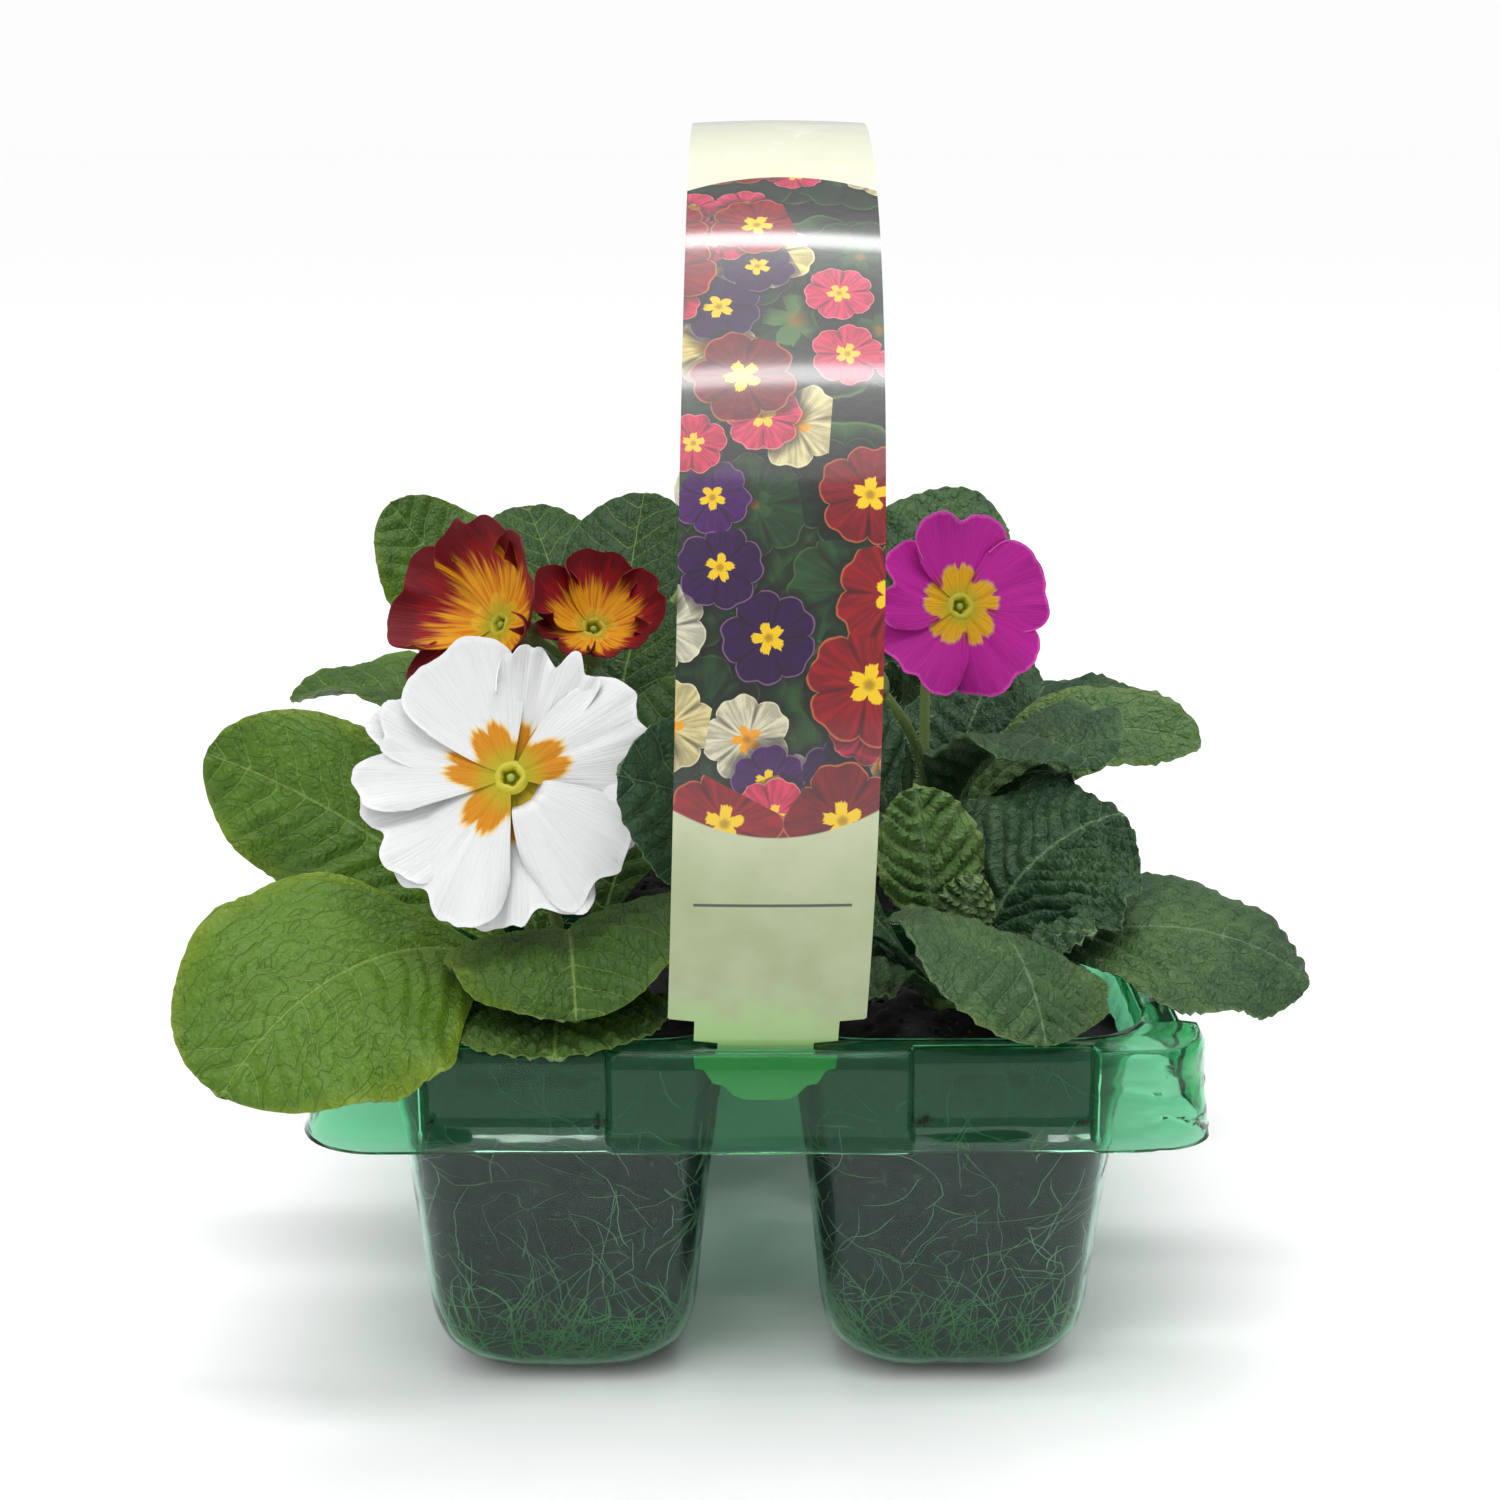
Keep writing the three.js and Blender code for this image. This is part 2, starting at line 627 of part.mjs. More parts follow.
for (const bloom of BLOOMS) {
  bloom.eye = aboveDeck(bloom.eye);
}
addPiece("carry_pack", carryPack(), MATERIALS.sheet);
addPiece("card_handle", cardHandle(), MATERIALS.card);
for (const cell of CELLS) {
  addPiece(`soil_${cell.name}`, soilPlug(cell), MATERIALS.soil);
  addPiece(`plant_${cell.name}`, plant(cell), cell.x < 0 ? MATERIALS.leaf_light : MATERIALS.leaf_dark);
}
for (const bloom of BLOOMS) {
  addPiece(`bloom_${bloom.name}`, corolla(bloom), { color: bloom.colour, roughness: 0.6 });
}

export default primroses;
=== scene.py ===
"""Primroses in a moulded six-cell carry pack with a printed card handle.

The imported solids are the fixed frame. Each one is replaced by a finer piece worked out from
the same sizes: the moulded sheet, the card, the soil with its roots, the plants, the blooms.
Lengths are in millimetres here, and every mesh takes them to metres.
"""

import bmesh
import bpy
import numpy as np
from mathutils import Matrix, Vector


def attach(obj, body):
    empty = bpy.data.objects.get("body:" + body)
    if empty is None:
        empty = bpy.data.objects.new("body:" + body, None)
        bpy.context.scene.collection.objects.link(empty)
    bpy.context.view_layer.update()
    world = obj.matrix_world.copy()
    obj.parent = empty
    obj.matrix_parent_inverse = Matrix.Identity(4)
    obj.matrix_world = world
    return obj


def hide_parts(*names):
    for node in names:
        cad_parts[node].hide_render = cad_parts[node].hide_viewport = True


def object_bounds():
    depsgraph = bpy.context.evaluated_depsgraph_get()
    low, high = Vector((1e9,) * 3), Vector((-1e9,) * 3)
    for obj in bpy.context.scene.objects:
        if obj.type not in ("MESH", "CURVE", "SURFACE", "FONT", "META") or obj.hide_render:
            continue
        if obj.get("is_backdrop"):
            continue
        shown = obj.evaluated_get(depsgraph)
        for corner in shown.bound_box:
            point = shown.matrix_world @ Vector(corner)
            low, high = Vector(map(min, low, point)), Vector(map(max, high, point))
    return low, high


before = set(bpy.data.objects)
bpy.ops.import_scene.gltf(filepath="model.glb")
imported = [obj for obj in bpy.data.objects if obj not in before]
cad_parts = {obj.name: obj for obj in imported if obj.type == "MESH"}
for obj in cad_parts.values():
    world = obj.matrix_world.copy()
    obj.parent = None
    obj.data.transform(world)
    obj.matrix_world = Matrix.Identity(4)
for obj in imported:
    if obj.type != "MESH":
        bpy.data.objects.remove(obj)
CAD_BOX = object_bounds()

MM = 0.001
UP = np.array([0.0, 0.0, 1.0])
# The space left between neighbouring solids.
CLEAR = 0.3
PACK_WIDTH = 164
PACK_DEPTH = 234
# Height of the pack's flat top.
DECK = 73.5
SHEET = 0.8
# From the middle of one cell to the next.
PITCH = 74
# The hole in a plug's top, which a plant's crown stands in.
HOLE_RADIUS = 6
HOLE_FLOOR = DECK - 16
CROWN_TOP = DECK - 1
SOIL_TOP = DECK - 4
STALK_RADIUS = 1.1
# A flower's tube, which stands in its cup.
TUBE_RADIUS = 2
TUBE_LENGTH = 9
# The middle of the card across the pack, and how far its slots are from the front and back.
CARD_X = 1
SLOT_INSET = 5

CELLS = {
    f"{row}_{side}": np.array([x, y, 0.0])
    for row, y in (("front", -PITCH), ("middle", 0), ("back", PITCH))
    for side, x in (("left", -PITCH / 2), ("right", PITCH / 2))
}


# ---- numbers ----

def eased(x):
    """Half a cosine from 0 to 1, flat outside."""
    return 0.5 - 0.5 * np.cos(np.pi * np.clip(x, 0, 1))


def unit(v):
    """Vectors brought to a length of 1."""
    return v / np.maximum(np.linalg.norm(v, axis=-1, keepdims=True), 1e-9)


def drift(x, y, size, seed):
    """Smooth noise from -1 to 1: random values on a square lattice, blended by smooth steps."""
    table = np.random.default_rng(seed).uniform(-1, 1, (64, 64))
    x, y = np.broadcast_arrays(np.asarray(x, float) / size, np.asarray(y, float) / size)
    i, j = np.floor(x).astype(int), np.floor(y).astype(int)
    a, b = x - i, y - j
    a, b = a * a * (3 - 2 * a), b * b * (3 - 2 * b)
    low = table[i % 64, j % 64] * (1 - a) + table[(i + 1) % 64, j % 64] * a
    high = table[i % 64, (j + 1) % 64] * (1 - a) + table[(i + 1) % 64, (j + 1) % 64] * a
    return low * (1 - b) + high * b


def softened(table, count, passes=2):
    """A profile resampled at even steps along its first two columns, with its corners eased by
    averaging neighbours. The ends stay."""
    table = np.asarray(table, float)
    run = np.r_[0, np.cumsum(np.linalg.norm(np.diff(table[:, :2], axis=0), axis=1))]
    at = np.linspace(0, run[-1], count)
    rows = np.stack([np.interp(at, run, column) for column in table.T], -1)
    for _ in range(passes):
        rows[1:-1] = 0.25 * rows[:-2] + 0.5 * rows[1:-1] + 0.25 * rows[2:]
    return rows


def inset(profile, depth):
    """A profile of (height, half width, corner) drawn in by `depth` along its normal."""
    along = unit(np.gradient(profile[:, :2], axis=0))
    drawn = profile.copy()
    drawn[:, 0] += depth * along[:, 1]
    drawn[:, 1:] -= depth * along[:, :1]
    return drawn


def wall_radius(theta, half, corner):
    """Distance from the middle of a rounded square to its wall, in the direction theta."""
    c, s = np.abs(np.cos(theta)), np.abs(np.sin(theta))
    far, near = np.maximum(c, s), np.minimum(c, s)
    core = half - corner
    dot = core * (c + s)
    arc = dot + np.sqrt(np.maximum(dot ** 2 - 2 * core ** 2 + corner ** 2, 0))
    return np.where(near / far * half <= core, half / far, arc)


def turn_from_up(axis):
    """The smallest rotation that takes +Z to the axis."""
    cross = np.cross(UP, axis)
    skew = np.array([[0, -cross[2], cross[1]], [cross[2], 0, -cross[0]], [-cross[1], cross[0], 0]])
    return np.eye(3) + skew + skew @ skew / (1 + axis[2])


def facing(faces, tilt):
    """The direction with compass angle `faces` and height angle `tilt`, in degrees."""
    a, e = np.radians(faces), np.radians(tilt)
    return np.array([np.cos(e) * np.cos(a), np.cos(e) * np.sin(a), np.sin(e)])


def polar(radius, angle, height):
    """Points at a distance from the upright axis, an angle about it and a height."""
    return np.stack([radius * np.cos(angle), radius * np.sin(angle), height], -1)


def facing_ring(theta):
    """Level directions at the angles theta."""
    return polar(1, theta, 0 * theta)


def above_deck(place):
    """A place that is given from the deck, as one from the floor."""
    return np.array(place, float) + UP * DECK


# ---- surfaces ----

def grid_quads(rows, columns, around=False):
    """Quads over a grid. They face along the rows' direction x the columns' direction."""
    r, c = np.meshgrid(np.arange(rows - 1), np.arange(columns - (not around)), indexing="ij")
    a, b = r * columns + c, r * columns + (c + 1) % columns
    return np.stack([a, a + columns, b + columns, b], -1).reshape(-1, 4)


def patch(points, quads, uv=0.0, ribs=0.0, tint=0.0, finish=0):
    """A surface with what its materials read: a UV map, and the attributes ribs and tint."""
    points = np.asarray(points, float)
    shape = points.shape[:-1]

    def spread(value, width):
        value = np.asarray(value, float)
        if value.ndim < 2:
            value = np.broadcast_to(value, shape + (width,))
        return value.reshape(-1, width)

    return {
        "points": points.reshape(-1, 3), "quads": quads, "uv": spread(uv, 2),
        "ribs": spread(ribs, 3), "tint": spread(tint, 3), "finish": finish,
    }


def slab(grid, upper, lower, uv, ribs, tint):
    """A closed thin shell about a grid of points. Its faces stand off along the grid's normal
    by `upper` and `lower`, and a strip of quads closes the rim. The lower face has 1 added to
    the second number of its tint."""
    rows, columns = grid.shape[:2]
    normal = unit(np.cross(np.gradient(grid, axis=0), np.gradient(grid, axis=1)))
    normal[0], normal[-1] = normal[1], normal[-2]
    upper, lower = np.broadcast_to(upper, (rows, columns)), np.broadcast_to(lower, (rows, columns))
    points = np.stack([grid + normal * upper[..., None], grid - normal * lower[..., None]])
    face = grid_quads(rows, columns)
    index = np.arange(rows * columns).reshape(rows, columns)
    rim = np.concatenate([index[:-1, 0], index[-1, :-1], index[:0:-1, -1], index[0, :0:-1]])
    ahead = np.roll(rim, -1)
    low = rows * columns
    wall = np.stack([rim + low, ahead + low, ahead, rim], -1)
    quads = np.concatenate([face, face[:, ::-1] + low, wall])

    def both(value, width):
        return np.broadcast_to(value, (2, rows, columns, width)).copy()

    tint = both(tint, 3)
    tint[1, ..., 1] += 1
    return patch(points, quads, both(uv, 2), both(ribs, 3), tint)


def tubes(paths, hint, radius, sides, tint=0.0, finish=0):
    """Round tubes about paths of shape (tubes, rows, 3), closed to a point at each end. `hint`
    is a direction off the path, from which the first side is measured."""
    paths = np.asarray(paths, float)
    count, rows = paths.shape[:2]
    along = unit(np.gradient(paths, axis=1))
    first = unit(np.broadcast_to(hint, paths.shape) - along * np.sum(hint * along, -1, keepdims=True))
    second = np.cross(along, first)
    angle = np.arange(sides) / sides * 2 * np.pi
    radius = np.broadcast_to(radius, (count, rows)).copy()
    radius[:, 0] = radius[:, -1] = 0.01
    spoke = first[:, :, None] * np.cos(angle)[:, None] + second[:, :, None] * np.sin(angle)[:, None]
    points = paths[:, :, None] + radius[..., None, None] * spoke
    quads = grid_quads(rows, sides, around=True)[:, ::-1]
    quads = (quads + np.arange(count)[:, None, None] * rows * sides).reshape(-1, 4)
    u = np.broadcast_to(np.linspace(0, 1, rows)[:, None], (count, rows, sides))
    v = np.broadcast_to(np.arange(sides) / sides, (count, rows, sides))
    return patch(points, quads, np.stack([u, v], -1), tint=tint, finish=finish)


def revolved(profile, sides, ripple=None, tint=0.0, finish=0):
    """A profile of (radius, height) rows, going up the outside, turned about +Z. `ripple` gives
    what is added to the radius, from the angle and the share of the profile's rows."""
    profile = np.asarray(profile, float)
    angle = np.arange(sides) / sides * 2 * np.pi
    radius = np.broadcast_to(profile[:, :1], (len(profile), sides))
    if ripple is not None:
        radius = radius + ripple(angle, np.linspace(0, 1, len(profile))[:, None])
    height = np.broadcast_to(profile[:, 1:2], radius.shape)
    points = polar(radius, angle, height)
    quads = grid_quads(len(profile), sides, around=True)[:, ::-1]
    u = np.broadcast_to(np.linspace(0, 1, len(profile))[:, None], radius.shape)
    v = np.broadcast_to(angle / (2 * np.pi), radius.shape)
    return patch(points, quads, np.stack([u, v], -1), tint=tint, finish=finish)


def placed(surface, turn, origin):
    """A surface turned about the origin and then moved there."""
    surface["points"] = surface["points"] @ turn.T + origin
    return surface


def in_scene(name, data):
    """An object in the scene for a mesh, a lamp or a camera."""
    thing = bpy.data.objects.new(name, data)
    bpy.context.scene.collection.objects.link(thing)
    return thing


def mesh_object(name, surfaces, smooth_angle=55):
    """One mesh from surfaces that lie in place, with their UV map and attributes, its poles
    closed by merging the points that meet there."""
    starts = np.cumsum([0] + [len(s["points"]) for s in surfaces])
    points = np.concatenate([s["points"] for s in surfaces]) * MM
    quads = np.concatenate([s["quads"] + start for s, start in zip(surfaces, starts)])
    mesh = bpy.data.meshes.new(name)
    mesh.from_pydata(points.tolist(), [], quads.tolist())
    finish = np.concatenate([np.full(len(s["quads"]), s["finish"]) for s in surfaces])
    mesh.polygons.foreach_set("material_index", finish.astype(np.int32))
    for key in ("ribs", "tint"):
        layer = mesh.attributes.new(key, "FLOAT_VECTOR", "POINT")
        layer.data.foreach_set("vector", np.concatenate([s[key] for s in surfaces]).ravel())
    corners = np.empty(len(mesh.loops), np.int32)
    mesh.loops.foreach_get("vertex_index", corners)
    uv = np.concatenate([s["uv"] for s in surfaces])[corners]
    mesh.uv_layers.new(name="UVMap").uv.foreach_set("vector", uv.ravel())
    shape = bmesh.new()
    shape.from_mesh(mesh)
    bmesh.ops.remove_doubles(shape, verts=shape.verts, dist=2e-6)
    shape.to_mesh(mesh)
    shape.free()
    mesh.shade_smooth()
    mesh.set_sharp_from_angle(angle=np.radians(smooth_angle))
    return in_scene(name, mesh)


def stand_for(thing, finishes, slot, node):
    """Gives a piece its materials and its place in the frame, in place of its CAD node."""
    for finish in finishes:
        thing.data.materials.append(finish)
    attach(thing, "root")
    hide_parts(node)


# ---- shader nodes ----

def sum_method(operation, swapped=False):
    """A method of Value for one kind of sum."""

    def method(value, other):
        pair = (other, value) if swapped else (value, other)
        return value.net.math(operation, *pair)

    return method


class Value:
    """What a socket gives. Sums are written with it as with a number."""

    def __init__(self, net, socket):
        self.net = net
        self.socket = socket

    def __abs__(self):
        return self.net.math("ABSOLUTE", self)

    __add__, __radd__ = sum_method("ADD"), sum_method("ADD", swapped=True)
    __sub__, __rsub__ = sum_method("SUBTRACT"), sum_method("SUBTRACT", swapped=True)
    __mul__, __rmul__ = sum_method("MULTIPLY"), sum_method("MULTIPLY", swapped=True)
    __truediv__, __rtruediv__ = sum_method("DIVIDE"), sum_method("DIVIDE", swapped=True)
    __pow__ = sum_method("POWER")


class Net:
    """Adds nodes to a material or a group and joins their sockets."""

    def __init__(self, tree):
        self.tree = tree

    def feed(self, socket, value):
        """Gives an input what comes from a socket, or else a plain value."""
        if isinstance(value, Value):
            self.tree.links.new(value.socket, socket)
        else:
            socket.default_value = value

    def node(self, kind, inputs=None, **settings):
        """A node with its settings and inputs."""
        node = self.tree.nodes.new(kind)
        for key, value in settings.items():
            setattr(node, key, value)
        for key, value in (inputs or {}).items():
            self.feed(node.inputs[key], value)
        return node

    def outputs(self, node):
        """What a node puts out, by name."""
        return {socket.name: Value(self, socket) for socket in node.outputs}

    def output(self, key, kind, inputs=None, **settings):
        """One output of a new node."""
        return Value(self, self.node(kind, inputs, **settings).outputs[key])

    def math(self, operation, *values):
        """One operation on values and plain numbers."""
        return self.output(0, "ShaderNodeMath", dict(enumerate(values)), operation=operation)

    def vector_math(self, operation, inputs, key="Vector"):
        """One operation on vectors, with its inputs by number."""
        return self.output(key, "ShaderNodeVectorMath", inputs, operation=operation)

    def mix(self, factor, a, b):
        """Colour `a` where the factor is 0, and `b` where it is 1."""
        return self.output(2, "ShaderNodeMix", {0: factor, 6: a, 7: b}, data_type="RGBA")

    def over(self, tone, mask, share, shade):
        """A tone with a shade laid over it by a share, where the mask is 1."""
        return self.mix(mask * share, tone, shade)

    def step(self, value, low, high):
        """A smooth step from 0 at `low` to 1 at `high`."""
        inputs = {"Value": value, "From Min": low, "From Max": high}
        return self.output("Result", "ShaderNodeMapRange", inputs, interpolation_type="SMOOTHSTEP")

    def noise(self, vector, scale, detail=2.0, roughness=0.5, distortion=0.0):
        """Noise between 0 and 1, mostly near a half."""
        inputs = {
            "Vector": vector, "Scale": scale, "Detail": detail,
            "Roughness": roughness, "Distortion": distortion,
        }
        return self.output("Fac", "ShaderNodeTexNoise", inputs)

    def cracks(self, vector, scale):
        """Distance to the edges of a net of random cells."""
        inputs = {"Vector": vector, "Scale": scale}
        return self.output("Distance", "ShaderNodeTexVoronoi", inputs, feature="DISTANCE_TO_EDGE")

    def parts(self, vector):
        """The three numbers of a vector."""
        return self.outputs(self.node("ShaderNodeSeparateXYZ", {0: vector})).values()

    def part(self, index, vector):
        """One of the three numbers of a vector."""
        return list(self.parts(vector))[index]

    def vector(self, x, y, z=0.0):
        """A vector of three numbers."""
        return self.output(0, "ShaderNodeCombineXYZ", {0: x, 1: y, 2: z})

    def read(self, name):
        """An attribute of the mesh."""
        return self.output("Vector", "ShaderNodeAttribute", attribute_name=name)

    def place(self):
        """Object coordinates, in metres."""
        return self.output("Object", "ShaderNodeTexCoord")

    def chart(self):
        """The piece's own UV map."""
        return self.output("UV", "ShaderNodeUVMap", uv_map="UVMap")

    def bump(self, height, distance, strength=1.0, normal=None):
        """The normal that a height gives, on top of another normal where there is one."""
        inputs = {"Height": height, "Distance": distance, "Strength": strength}
        if normal is not None:
            inputs["Normal"] = normal
        return self.output("Normal", "ShaderNodeBump", inputs)

    def use(self, group, **inputs):
        """A shared effect with its inputs. Returns what it puts out."""
        named = {key.replace("_", " "): value for key, value in inputs.items()}
        return self.outputs(self.node("ShaderNodeGroup", named, node_tree=group))


def colour(red, green, blue):
    """A display colour in 0 to 255 as the linear values a shader takes."""
    values = np.array([red, green, blue]) / 255
    return (*np.where(values <= 0.04045, values / 12.92, ((values + 0.055) / 1.055) ** 2.4), 1.0)


def effect(name, inputs, outputs):
    """A node group with named sockets. Returns its net, its inputs, and the function that takes
    what it puts out."""
    kinds = {"value": "NodeSocketFloat", "vector": "NodeSocketVector", "colour": "NodeSocketColor"}
    tree = bpy.data.node_groups.new(name, "ShaderNodeTree")
    for key, kind in inputs.items():
        tree.interface.new_socket(name=key, in_out="INPUT", socket_type=kinds[kind])
    for key, kind in outputs.items():
        tree.interface.new_socket(name=key, in_out="OUTPUT", socket_type=kinds[kind])
    net = Net(tree)
    entry = net.outputs(net.node("NodeGroupInput"))
    exit_node = net.node("NodeGroupOutput")

    def give(**values):
        for key, value in values.items():
            net.feed(exit_node.inputs[key.replace("_", " ")], value)
        return tree

    return net, entry, give


def finish_material(name, **constants):
    """A material with one Principled BSDF. Its plain numbers are set on the shader's sockets.
    Returns its net, and a function that joins what varies and gives the material."""
    material = bpy.data.materials.new(name)
    material.use_nodes = True
    tree = material.node_tree
    tree.nodes.clear()
    net = Net(tree)
    shader = net.node("ShaderNodeBsdfPrincipled")
    for key, value in constants.items():
        shader.inputs[key.replace("_", " ")].default_value = value
    out = net.node("ShaderNodeOutputMaterial")
    tree.links.new(shader.outputs[0], out.inputs["Surface"])

    def join(**values):
        for key, value in values.items():
            net.feed(shader.inputs[key.replace("_", " ")], value)
        return material

    return net, join


def mottle_effect():
    """Two sizes of noise, stretched to a value that wanders between 0 and 1."""
    net, entry, give = effect("mottle", {"Vector": "vector", "Scale": "value"}, {"Value": "value"})
    broad = net.noise(entry["Vector"], entry["Scale"], 2.0)
    fine = net.noise(entry["Vector"], entry["Scale"] * 4.3, 3.0)
    both = broad * 0.65 + fine * 0.35
    return give(Value=net.step(both, 0.34, 0.66))


def vein_net_effect():
    """The ribs attribute holds a leaf's side-vein phase, its cross-vein phase, and the distance
    from its midrib in millimetres. A vein lies where a phase is a whole number. The midrib thins
    out towards the tip, and side veins away from the midrib. The finest net is made of random
    cells on the leaf's chart."""
    net, entry, give = effect(
        "leaf veins",
        {"Ribs": "vector", "Chart": "vector"},
        {"Rib": "value", "Net": "value", "Height": "value"},
    )
    side, cross, midrib = net.parts(entry["Ribs"])
    _, along, _ = net.parts(entry["Chart"])
    outer, inner = net.math("MULTIPLY_ADD", along, -0.8, 0.85), net.math("MULTIPLY_ADD", along, -0.22, 0.25)
    spine = net.step(midrib, outer, inner)
    near = net.math("PINGPONG", side, 0.5)
    taper = 0.018 + 0.3 / (midrib + 5.0)
    lateral = net.step(near, taper, taper * 0.35)
    small = net.step(net.math("PINGPONG", cross, 0.5), 0.09, 0.02)
    coarse = net.cracks(entry["Chart"], 36.0)
    cells = net.cracks(entry["Chart"], 84.0)
    rib = net.math("MAXIMUM", spine, lateral * 0.75)
    lines = net.math("MAXIMUM", small * 0.7, net.step(coarse, 0.13, 0.0) * 0.42)
    lines = net.math("MAXIMUM", lines, net.step(cells, 0.16, 0.0) * 0.3)
    height = net.step(coarse, 0.0, 0.35) * 0.6 + net.step(cells, 0.0, 0.4) * 0.5 - small * 0.6
    return give(Rib=rib, Net=lines, Height=height)


def streaks_effect():
    """Streaks that run out along a petal and fork a little, broad and fine, from its chart of
    across and reach."""
    net, entry, give = effect(
        "petal streaks",
        {"Chart": "vector", "Tint": "vector"},
        {"Broad": "value", "Fine": "value"},
    )
    across, reach, _ = net.parts(entry["Chart"])
    own = net.part(2, entry["Tint"]) * 40.0
    broad = net.vector(across * 5.0, reach * 0.9, own)
    fine = net.vector(across * 22.0, reach * 1.1, own)
    return give(Broad=net.noise(broad, 2.0, 2.0, 0.5, 0.4), Fine=net.noise(fine, 1.6, 3.0, 0.6, 0.4))


MOTTLE = mottle_effect()
VEIN_NET = vein_net_effect()
STREAKS = streaks_effect()


def mottled(net, vector, scale):
    """The shared mottle in a material's net."""
    return net.use(MOTTLE, Vector=vector, Scale=scale)["Value"]


# ---- the moulded pack ----

# A cell's section at each height: half its width, and its corner radius.
CELL_TABLE = [
    (0, 13, 9), (2, 19, 12), (6, 23.2, 13), (12, 25, 13), (40, 27.8, 13), (67, 31.2, 14),
    (DECK, 34.5, 16),
]
CELL_WALL = softened(CELL_TABLE, 44)
# How far the lip stands out from the skirt's face, and how far in the panels are set.
LIP = 1.6
PANEL_DEPTH = 3
# The skirt from its lip to the deck: height, how far out, depth of the recessed panels.
SKIRT_TABLE = [
    (55.5, LIP, 0), (56.9, 0.8, 0), (59.1, 0.4, PANEL_DEPTH), (71.5, 0, PANEL_DEPTH),
    (DECK, -1.6, PANEL_DEPTH),
]
SKIRT_CORNER = 13
# Where the recessed panels start and end along the front and back, and along the sides.
FRONT_PANELS = [(-59, -26.5), (26.5, 59)]
SIDE_PANELS = [(-99, -50), (-24, 24), (50, 99)]
# The corner of the skirt that has been knocked.
KNOCKED_X, KNOCKED_Y = 78, -108
# Half the length and half the width of a slot for the card.
SLOT_HALF = [8.7, 0.8]
# How round the sheet turns from a cell's wall to the deck, and the hole in a cell's floor.
MOUTH_ROUND = 1.3
DRAIN_RADIUS = 3


def loft_solid(name, rings):
    """A closed solid through rings of shape (levels, points, 2 or 3), anticlockwise from above
    and from the lowest up, with a flat face at each end."""
    levels, count = rings.shape[:2]
    quads = grid_quads(levels, count, around=True)[:, ::-1].tolist()
    ends = [list(range(count))[::-1], list(range((levels - 1) * count, levels * count))]
    mesh = bpy.data.meshes.new(name)
    mesh.from_pydata((rings.reshape(-1, 3) * MM).tolist(), [], quads + ends)
    return in_scene(name, mesh)


def cell_rings(profile, middle, count=76):
    """Rounded squares at the profile's heights, about a cell's middle."""
    theta = np.arange(count) / count * 2 * np.pi
    radius = wall_radius(theta, profile[:, 1:2], profile[:, 2:3])
    return middle + polar(radius, theta, np.broadcast_to(profile[:, :1], radius.shape))


def side_stations(panels, straight, slope=1.6):
    """Places along one side of the skirt and the share of the recess at each: the share eases
    from 0 to 1 inside each panel's ends. Places lie closer together at those ends."""
    ends = np.array(panels, float).ravel()
    near = (ends[:, None] + np.linspace(-0.4, 0.4, 7) * slope * 1.6).ravel()
    u = np.unique(np.round(np.r_[np.linspace(-straight, straight, 41), near], 2))
    u = u[np.abs(u) <= straight]
    share = sum(eased((u - a) / slope + 0.5) * eased((b - u) / slope + 0.5) for a, b in panels)
    return u, share


def skirt_rings(profile, inner):
    """The skirt's outline at each height of the profile, `inner` within its outer face. A
    profile row is (height, out, depth). Each quarter is one side with its panels, and the
    round corner at its end."""
    z, out, depth = (profile[:, k, None] for k in range(3))
    sides = []
    for quarter in range(4):
        half, other, panels = PACK_DEPTH / 2, PACK_WIDTH / 2, FRONT_PANELS
        if quarter % 2:
            half, other, panels = PACK_WIDTH / 2, PACK_DEPTH / 2, SIDE_PANELS
        straight = other - LIP - SKIRT_CORNER
        u, share = side_stations(panels, straight)
        v = half - LIP + out - inner - depth * share
        corner = np.linspace(0, np.pi / 2, 14)[1:-1]
        radius = SKIRT_CORNER + out - inner
        u = np.concatenate([np.broadcast_to(u, v.shape), straight + radius * np.sin(corner)], 1)
        v = np.concatenate([v, half - LIP - SKIRT_CORNER + radius * np.cos(corner)], 1)
        c, s = [(1, 0), (0, 1), (-1, 0), (0, -1)][quarter]
        sides.append(np.stack([c * u + s * v, s * u - c * v], -1))
    flat = np.concatenate(sides, 1)
    return crumpled(np.concatenate([flat, np.broadcast_to(z[..., None], flat.shape[:2] + (1,))], -1))


def crumpled(points):
    """A thin skirt never stands quite true: it is drawn in by a slow wave, and the front right
    corner, which has been knocked, by a few sharp creases."""
    x, y, z = points[..., 0], points[..., 1], points[..., 2]
    middle = unit(np.stack([x, y, 0 * x], -1))
    low = np.clip((DECK - z) / 14, 0, 1)
    wave = 0.2 * low * (1 + drift(x + y, x - y, 17, 4))
    knock = np.exp(-((x - KNOCKED_X) ** 2 + (y - KNOCKED_Y) ** 2) / 340)
    crease = 1 - np.abs(drift(x * 0.8 + z, y * 0.8 - z, 6.5, 9))
    dent = knock * (1.5 * crease ** 4 + 0.5 * (1 + drift(x + z, y - z, 11, 2)))
    dent = dent * np.clip(low * 3 + 0.25, 0, 1)
    return points - middle * (wave + dent)[..., None]


def combined(body, others, operation):
    """Joins solids to a body, or cuts them from it, and then removes them."""
    group = bpy.data.collections.new("tools")
    for other in others:
        bpy.context.scene.collection.objects.unlink(other)
        group.objects.link(other)
    bpy.context.scene.collection.children.link(group)
    cut = body.modifiers.new("cut", "BOOLEAN")
    cut.operation, cut.solver = operation, "MANIFOLD"
    cut.operand_type, cut.collection = "COLLECTION", group
    bpy.context.view_layer.update()
    made = bpy.data.meshes.new_from_object(body.evaluated_get(bpy.context.evaluated_depsgraph_get()))
    body.modifiers.clear()
    body.data = made
    for other in others:
        bpy.data.objects.remove(other)
    bpy.data.collections.remove(group)
    return body


